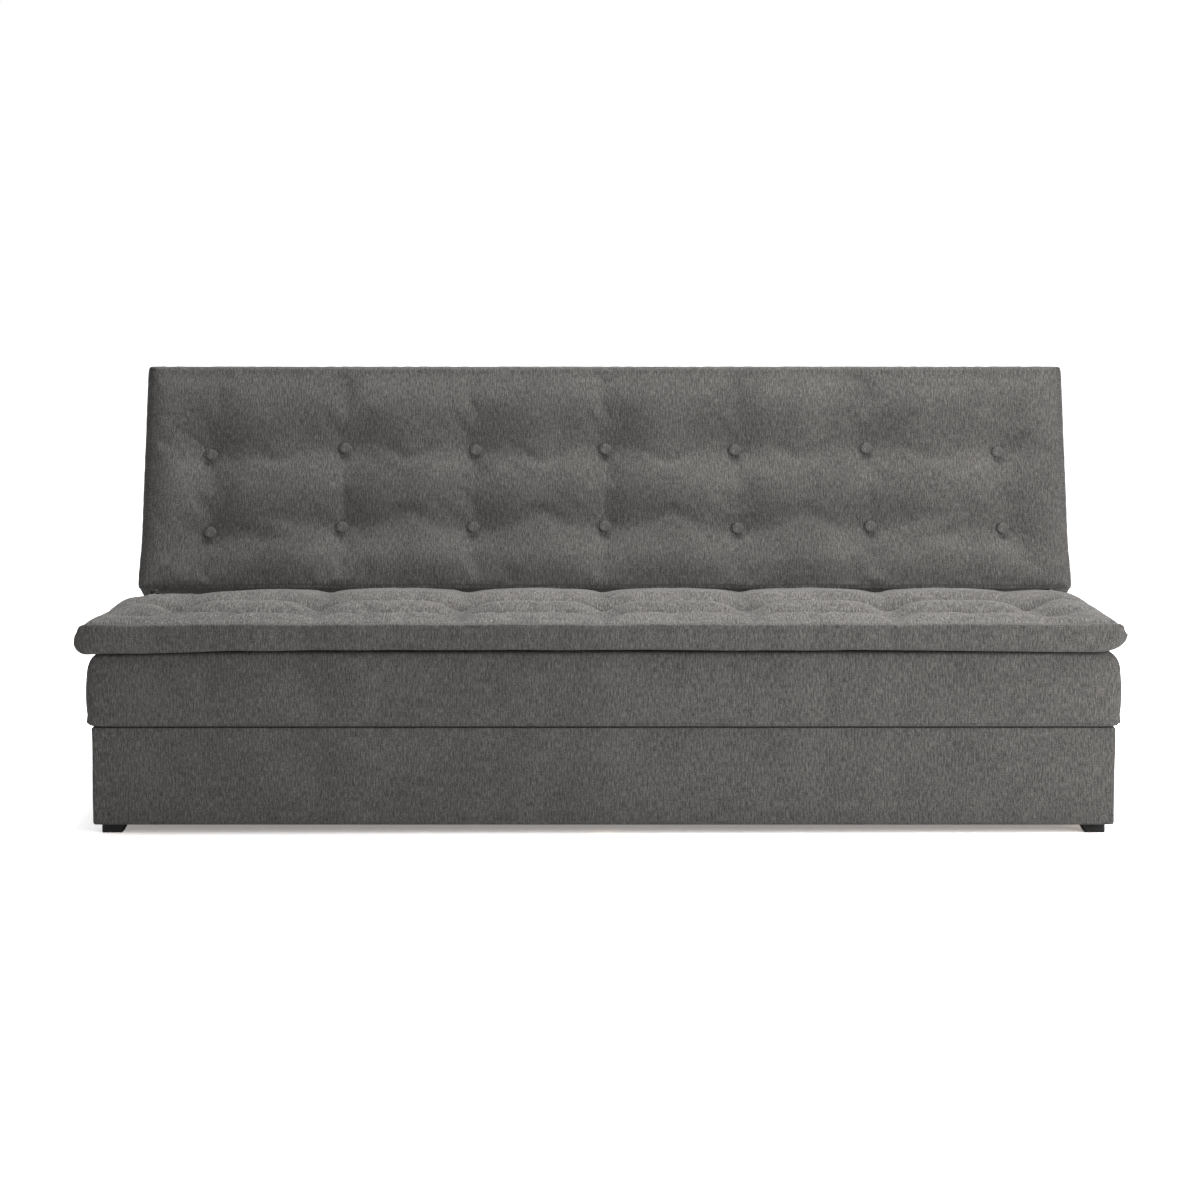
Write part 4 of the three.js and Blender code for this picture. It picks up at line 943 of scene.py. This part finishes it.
def back_panel():
    """The thin padded panel that closes the back from behind, drawn flat by its edge."""
    low, high = local_box("back_rear_cover", BACK_FRAME)
    low, high = low * [1, 1, -1], high * [1, 1, -1]
    low[2], high[2] = high[2], low[2]
    turned = BACK_FRAME @ Matrix.Rotation(math.pi, 4, "Y")

    def relief(x, y):
        edge = np.minimum(high[0] - abs(x), np.minimum(y - low[1], high[1] - y))
        swell = smooth((edge - 12 * MM) / (60 * MM)) * 1.5 * MM
        ripple = noise(x / (160 * MM), y / (110 * MM), 31) * 0.8 * MM + noise(x / (45 * MM), y / (60 * MM), 32) * 0.3 * MM
        stitched = -1.2 * MM * bell(edge - 16 * MM, 3 * MM)
        return (swell + ripple) * smooth((edge - 12 * MM) / (40 * MM)) + stitched - 1.5 * MM

    obj = thin_slab("back_rear_panel", low, high, 12 * MM, 6 * MM, 9 * MM, relief)
    subdivided(obj)
    placed(obj, turned)
    dressed(obj, LINING, "backrest", ["back_rear_cover"])


def dust_cover():
    """The black lining stapled flat across the seat frame's underside."""
    low, high = local_box("seat_dust_cover", SEAT_FRAME)
    frame_low, _ = local_box("seat_frame", SEAT_FRAME)

    def relief(x, y):
        edge = np.minimum(high[0] - abs(x), np.minimum(y - low[1], high[1] - y))
        free = smooth((edge - 22 * MM) / (50 * MM))
        return -0.5 * MM + (noise(x / (120 * MM), y / (90 * MM), 41) * 0.5 * MM) * free

    thin = 1.2 * MM
    obj = thin_slab("seat_dust_cloth", np.array([low[0], low[1], high[2] - thin]), high, 4 * MM, 0.5 * MM, 14 * MM, relief)
    dressed(obj, LINING, "seat", ["seat_dust_cover"])


def strap(along, across, middle, run, width, lift, thin):
    """A flat strap along one axis, waving over and under the ones that it crosses."""
    spots = np.linspace(*run, int((run[1] - run[0]) / (14 * MM)))
    co, faces = [], []
    half = width / 2
    for spot in spots:
        for side, level in ((-half, -thin), (half, -thin), (half, thin), (-half, thin)):
            point = [0, 0, 0]
            point[along], point[across] = spot, middle + side
            point[2] = lift(spot) + level / 2
            co.append(point)
    last = 4 * (len(spots) - 1)
    for at in range(0, last, 4):
        for side in range(4):
            following = (side + 1) % 4
            faces.append((at + side, at + following, at + 4 + following, at + 4 + side))
    faces += [(3, 2, 1, 0), (last, last + 1, last + 2, last + 3)]
    if along:
        faces = [face[::-1] for face in faces]
    return co, faces


def webbing_straps():
    """Woven webbing stapled across the seat frame: long straps over and under the cross ones."""
    low, high = local_box("seat_webbing", SEAT_FRAME)
    thin, width = 1.1 * MM, 60 * MM
    middle = (low[2] + high[2]) / 2
    swing = (high[2] - low[2] - thin) / 2
    lines = {}
    for along, count in ((0, 5), (1, 15)):
        across = 1 - along
        lines[along] = np.linspace(low[across] + width / 2, high[across] - width / 2, count)
    co, faces, length = [], [], 0
    for along in (0, 1):
        crossed = lines[1 - along]
        pitch = crossed[1] - crossed[0]
        for number, line in enumerate(lines[along]):
            side = 1 if (number + along) % 2 else -1
            lift = lambda spot: middle + side * swing * math.cos(math.pi * (spot - crossed[0]) / pitch)
            run = (low[along], high[along])
            points, quads = strap(along, 1 - along, line, run, width, lift, thin)
            faces += [[corner + len(co) for corner in face] for face in quads]
            co += points
            length += run[1] - run[0]
    obj = meshed("seat_webbing_straps", co, np.array(faces))
    dressed(obj, STRAPPING, "seat", ["seat_webbing"])


# Screw places as (y, z), on the inner face of each plate
SCREWS = {
    "seat_arm": ("seat", [(36.15, 224.9), (83.65, 224.9), (131.15, 224.9)]),
    "back_arm": ("backrest", [(301.61, 471.97), (315.04, 506.98), (328.48, 541.99)]),
    "hinge_bracket": ("base", [(182.65, 113.9), (244.65, 113.9), (182.65, 181.3), (244.65, 181.3)]),
}


def plate_screws():
    """Pan-head screws that hold each plate to its timber, their heads towards the sofa's middle."""
    radius, height = 5.6 * MM, 2 * MM
    dome = [(radius * math.cos(a), height * math.sin(a)) for a in np.linspace(0, 1.25, 6)]
    profile = [(0, 0), (radius, 0), *dome[1:], (1.7 * MM, 0.95 * height), (1.4 * MM, 0.4 * height), (0, 0.35 * height)]
    for plate, (body, spots) in SCREWS.items():
        for side, sign in (("left", -1), ("right", 1)):
            low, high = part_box(f"{plate}_{side}")
            face = high.x if sign < 0 else low.x
            for number, (y, z) in enumerate(spots):
                obj = lathe(f"{plate}_screw_{side}_{number + 1}", profile, 18)
                tilt = Matrix.Rotation(-sign * math.pi / 2, 4, "Y")
                placed(obj, Matrix.Translation((face, y * MM, z * MM)) @ tilt)
                dressed(obj, ZINC, body)


seat_cushion()
seat_topper()
back_cushion()
webbing_straps()
plate_screws()
back_buttons()
box_cover()
back_panel()
dust_cover()


# Carried-over CAD pieces

def finish_for(name):
    if name.startswith("foot_"):
        return PLASTIC
    if "spring" in name:
        return SPRING
    if any(word in name for word in ("bracket", "bolt", "nut", "arm", "cheek", "pin", "pawl")):
        return ZINC
    if "cover" in name and "fabric" in name:
        return CHENILLE
    if any(word in name for word in ("cover", "webbing")):
        return LINING
    if "board" in name:
        return BOARD
    if name in ("base_left_panel", "base_right_panel") or "batten" in name:
        return PINE_ACROSS
    return PINE_ALONG


EDGE = {PLASTIC: 1.4 * MM, ZINC: 0.4 * MM, SPRING: 0.15 * MM, PINE_ALONG: 1.2 * MM, PINE_ACROSS: 1.2 * MM,
        BOARD: 0.5 * MM}  # how far each finish's edges are broken

for name, node in frame["nodes"].items():
    if not node.hide_render:
        finish = finish_for(name)
        node.data.materials.clear()
        node.data.materials.append(finish)
        if finish in EDGE:
            node.modifiers.new("joined", "WELD").merge_threshold = 0.01 * MM
            bevel = node.modifiers.new("broken edges", "BEVEL")
            bevel.width, bevel.segments = EDGE[finish], 2
            bevel.limit_method, bevel.angle_limit = "ANGLE", math.radians(50)


# Floor, light and camera

FLOOR_SEEN = 4.0  # the camera sees the lit floor as pure white, and only its contact shadow as grey


def stage():
    mesh = bpy.data.meshes.new("floor")
    size = 60
    mesh.from_pydata([(-size, -size, 0), (size, -size, 0), (size, size, 0), (-size, size, 0)], [], [(0, 1, 2, 3)])
    floor = bpy.data.objects.new("floor", mesh)
    bpy.context.scene.collection.objects.link(floor)
    f = Finish("pale_floor")
    seen = f.add("ShaderNodeLightPath").outputs["Is Camera Ray"]
    pale = f.add("ShaderNodeMapRange", {"Value": seen, "To Min": 0.8, "To Max": FLOOR_SEEN})
    glow = f.math("MULTIPLY", seen, 0.25)
    f.set(base_color=pale.outputs[0], roughness=1.0, specular_ior_level=0.0,
          emission_color=(1, 1, 1, 1), emission_strength=glow)
    mesh.materials.append(f.material)


def sky():
    world = bpy.data.worlds.new("studio")
    bpy.context.scene.world = world
    world.use_nodes = True
    nodes, links = world.node_tree.nodes, world.node_tree.links
    background = nodes["Background"]
    background.inputs["Color"].default_value = (1, 1, 1, 1)
    path = nodes.new("ShaderNodeLightPath")
    seen, clear = nodes.new("ShaderNodeMath"), nodes.new("ShaderNodeMath")
    seen.operation = clear.operation = "MAXIMUM"
    links.new(path.outputs["Is Camera Ray"], seen.inputs[0])
    links.new(path.outputs["Is Glossy Ray"], seen.inputs[1])
    links.new(seen.outputs[0], clear.inputs[0])
    links.new(path.outputs["Is Transmission Ray"], clear.inputs[1])
    mix = nodes.new("ShaderNodeMapRange")
    links.new(clear.outputs[0], mix.inputs["Value"])
    mix.inputs["To Min"].default_value = 0.26
    mix.inputs["To Max"].default_value = 1.0
    links.new(mix.outputs[0], background.inputs["Strength"])


def area_light(name, place, target, size, power):
    light = bpy.data.lights.new(name, "AREA")
    light.shape = "RECTANGLE"
    light.size, light.size_y = size
    light.energy = power
    obj = bpy.data.objects.new(name, light)
    obj.location = place
    obj.rotation_euler = (Vector(target) - Vector(place)).to_track_quat("-Z", "Y").to_euler()
    bpy.context.scene.collection.objects.link(obj)


CAMERA_DISTANCE = 5.6
CAMERA_HEIGHT = 1.0094
CAMERA_SHIFT = -0.0065
CAMERA_PITCH = math.radians(5.9)


def camera():
    data = bpy.data.cameras.new("camera")
    data.lens = 94
    data.sensor_width = 36
    obj = bpy.data.objects.new("camera", data)
    obj.location = (CAMERA_SHIFT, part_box("base_fabric_cover")[0].y - CAMERA_DISTANCE, CAMERA_HEIGHT)
    obj.rotation_euler = (math.pi / 2 - CAMERA_PITCH, 0, 0)
    bpy.context.scene.collection.objects.link(obj)
    bpy.context.scene.camera = obj


bpy.context.scene.view_settings.view_transform = "Standard"
stage()
sky()
area_light("key", (2.3, -2.4, 1.0), (0.3, 0, 0.3), (0.9, 0.9), 54)
area_light("top", (0.4, 0.35, 3.0), (0.1, -0.1, 0.3), (2.6, 1.2), 90)
camera()
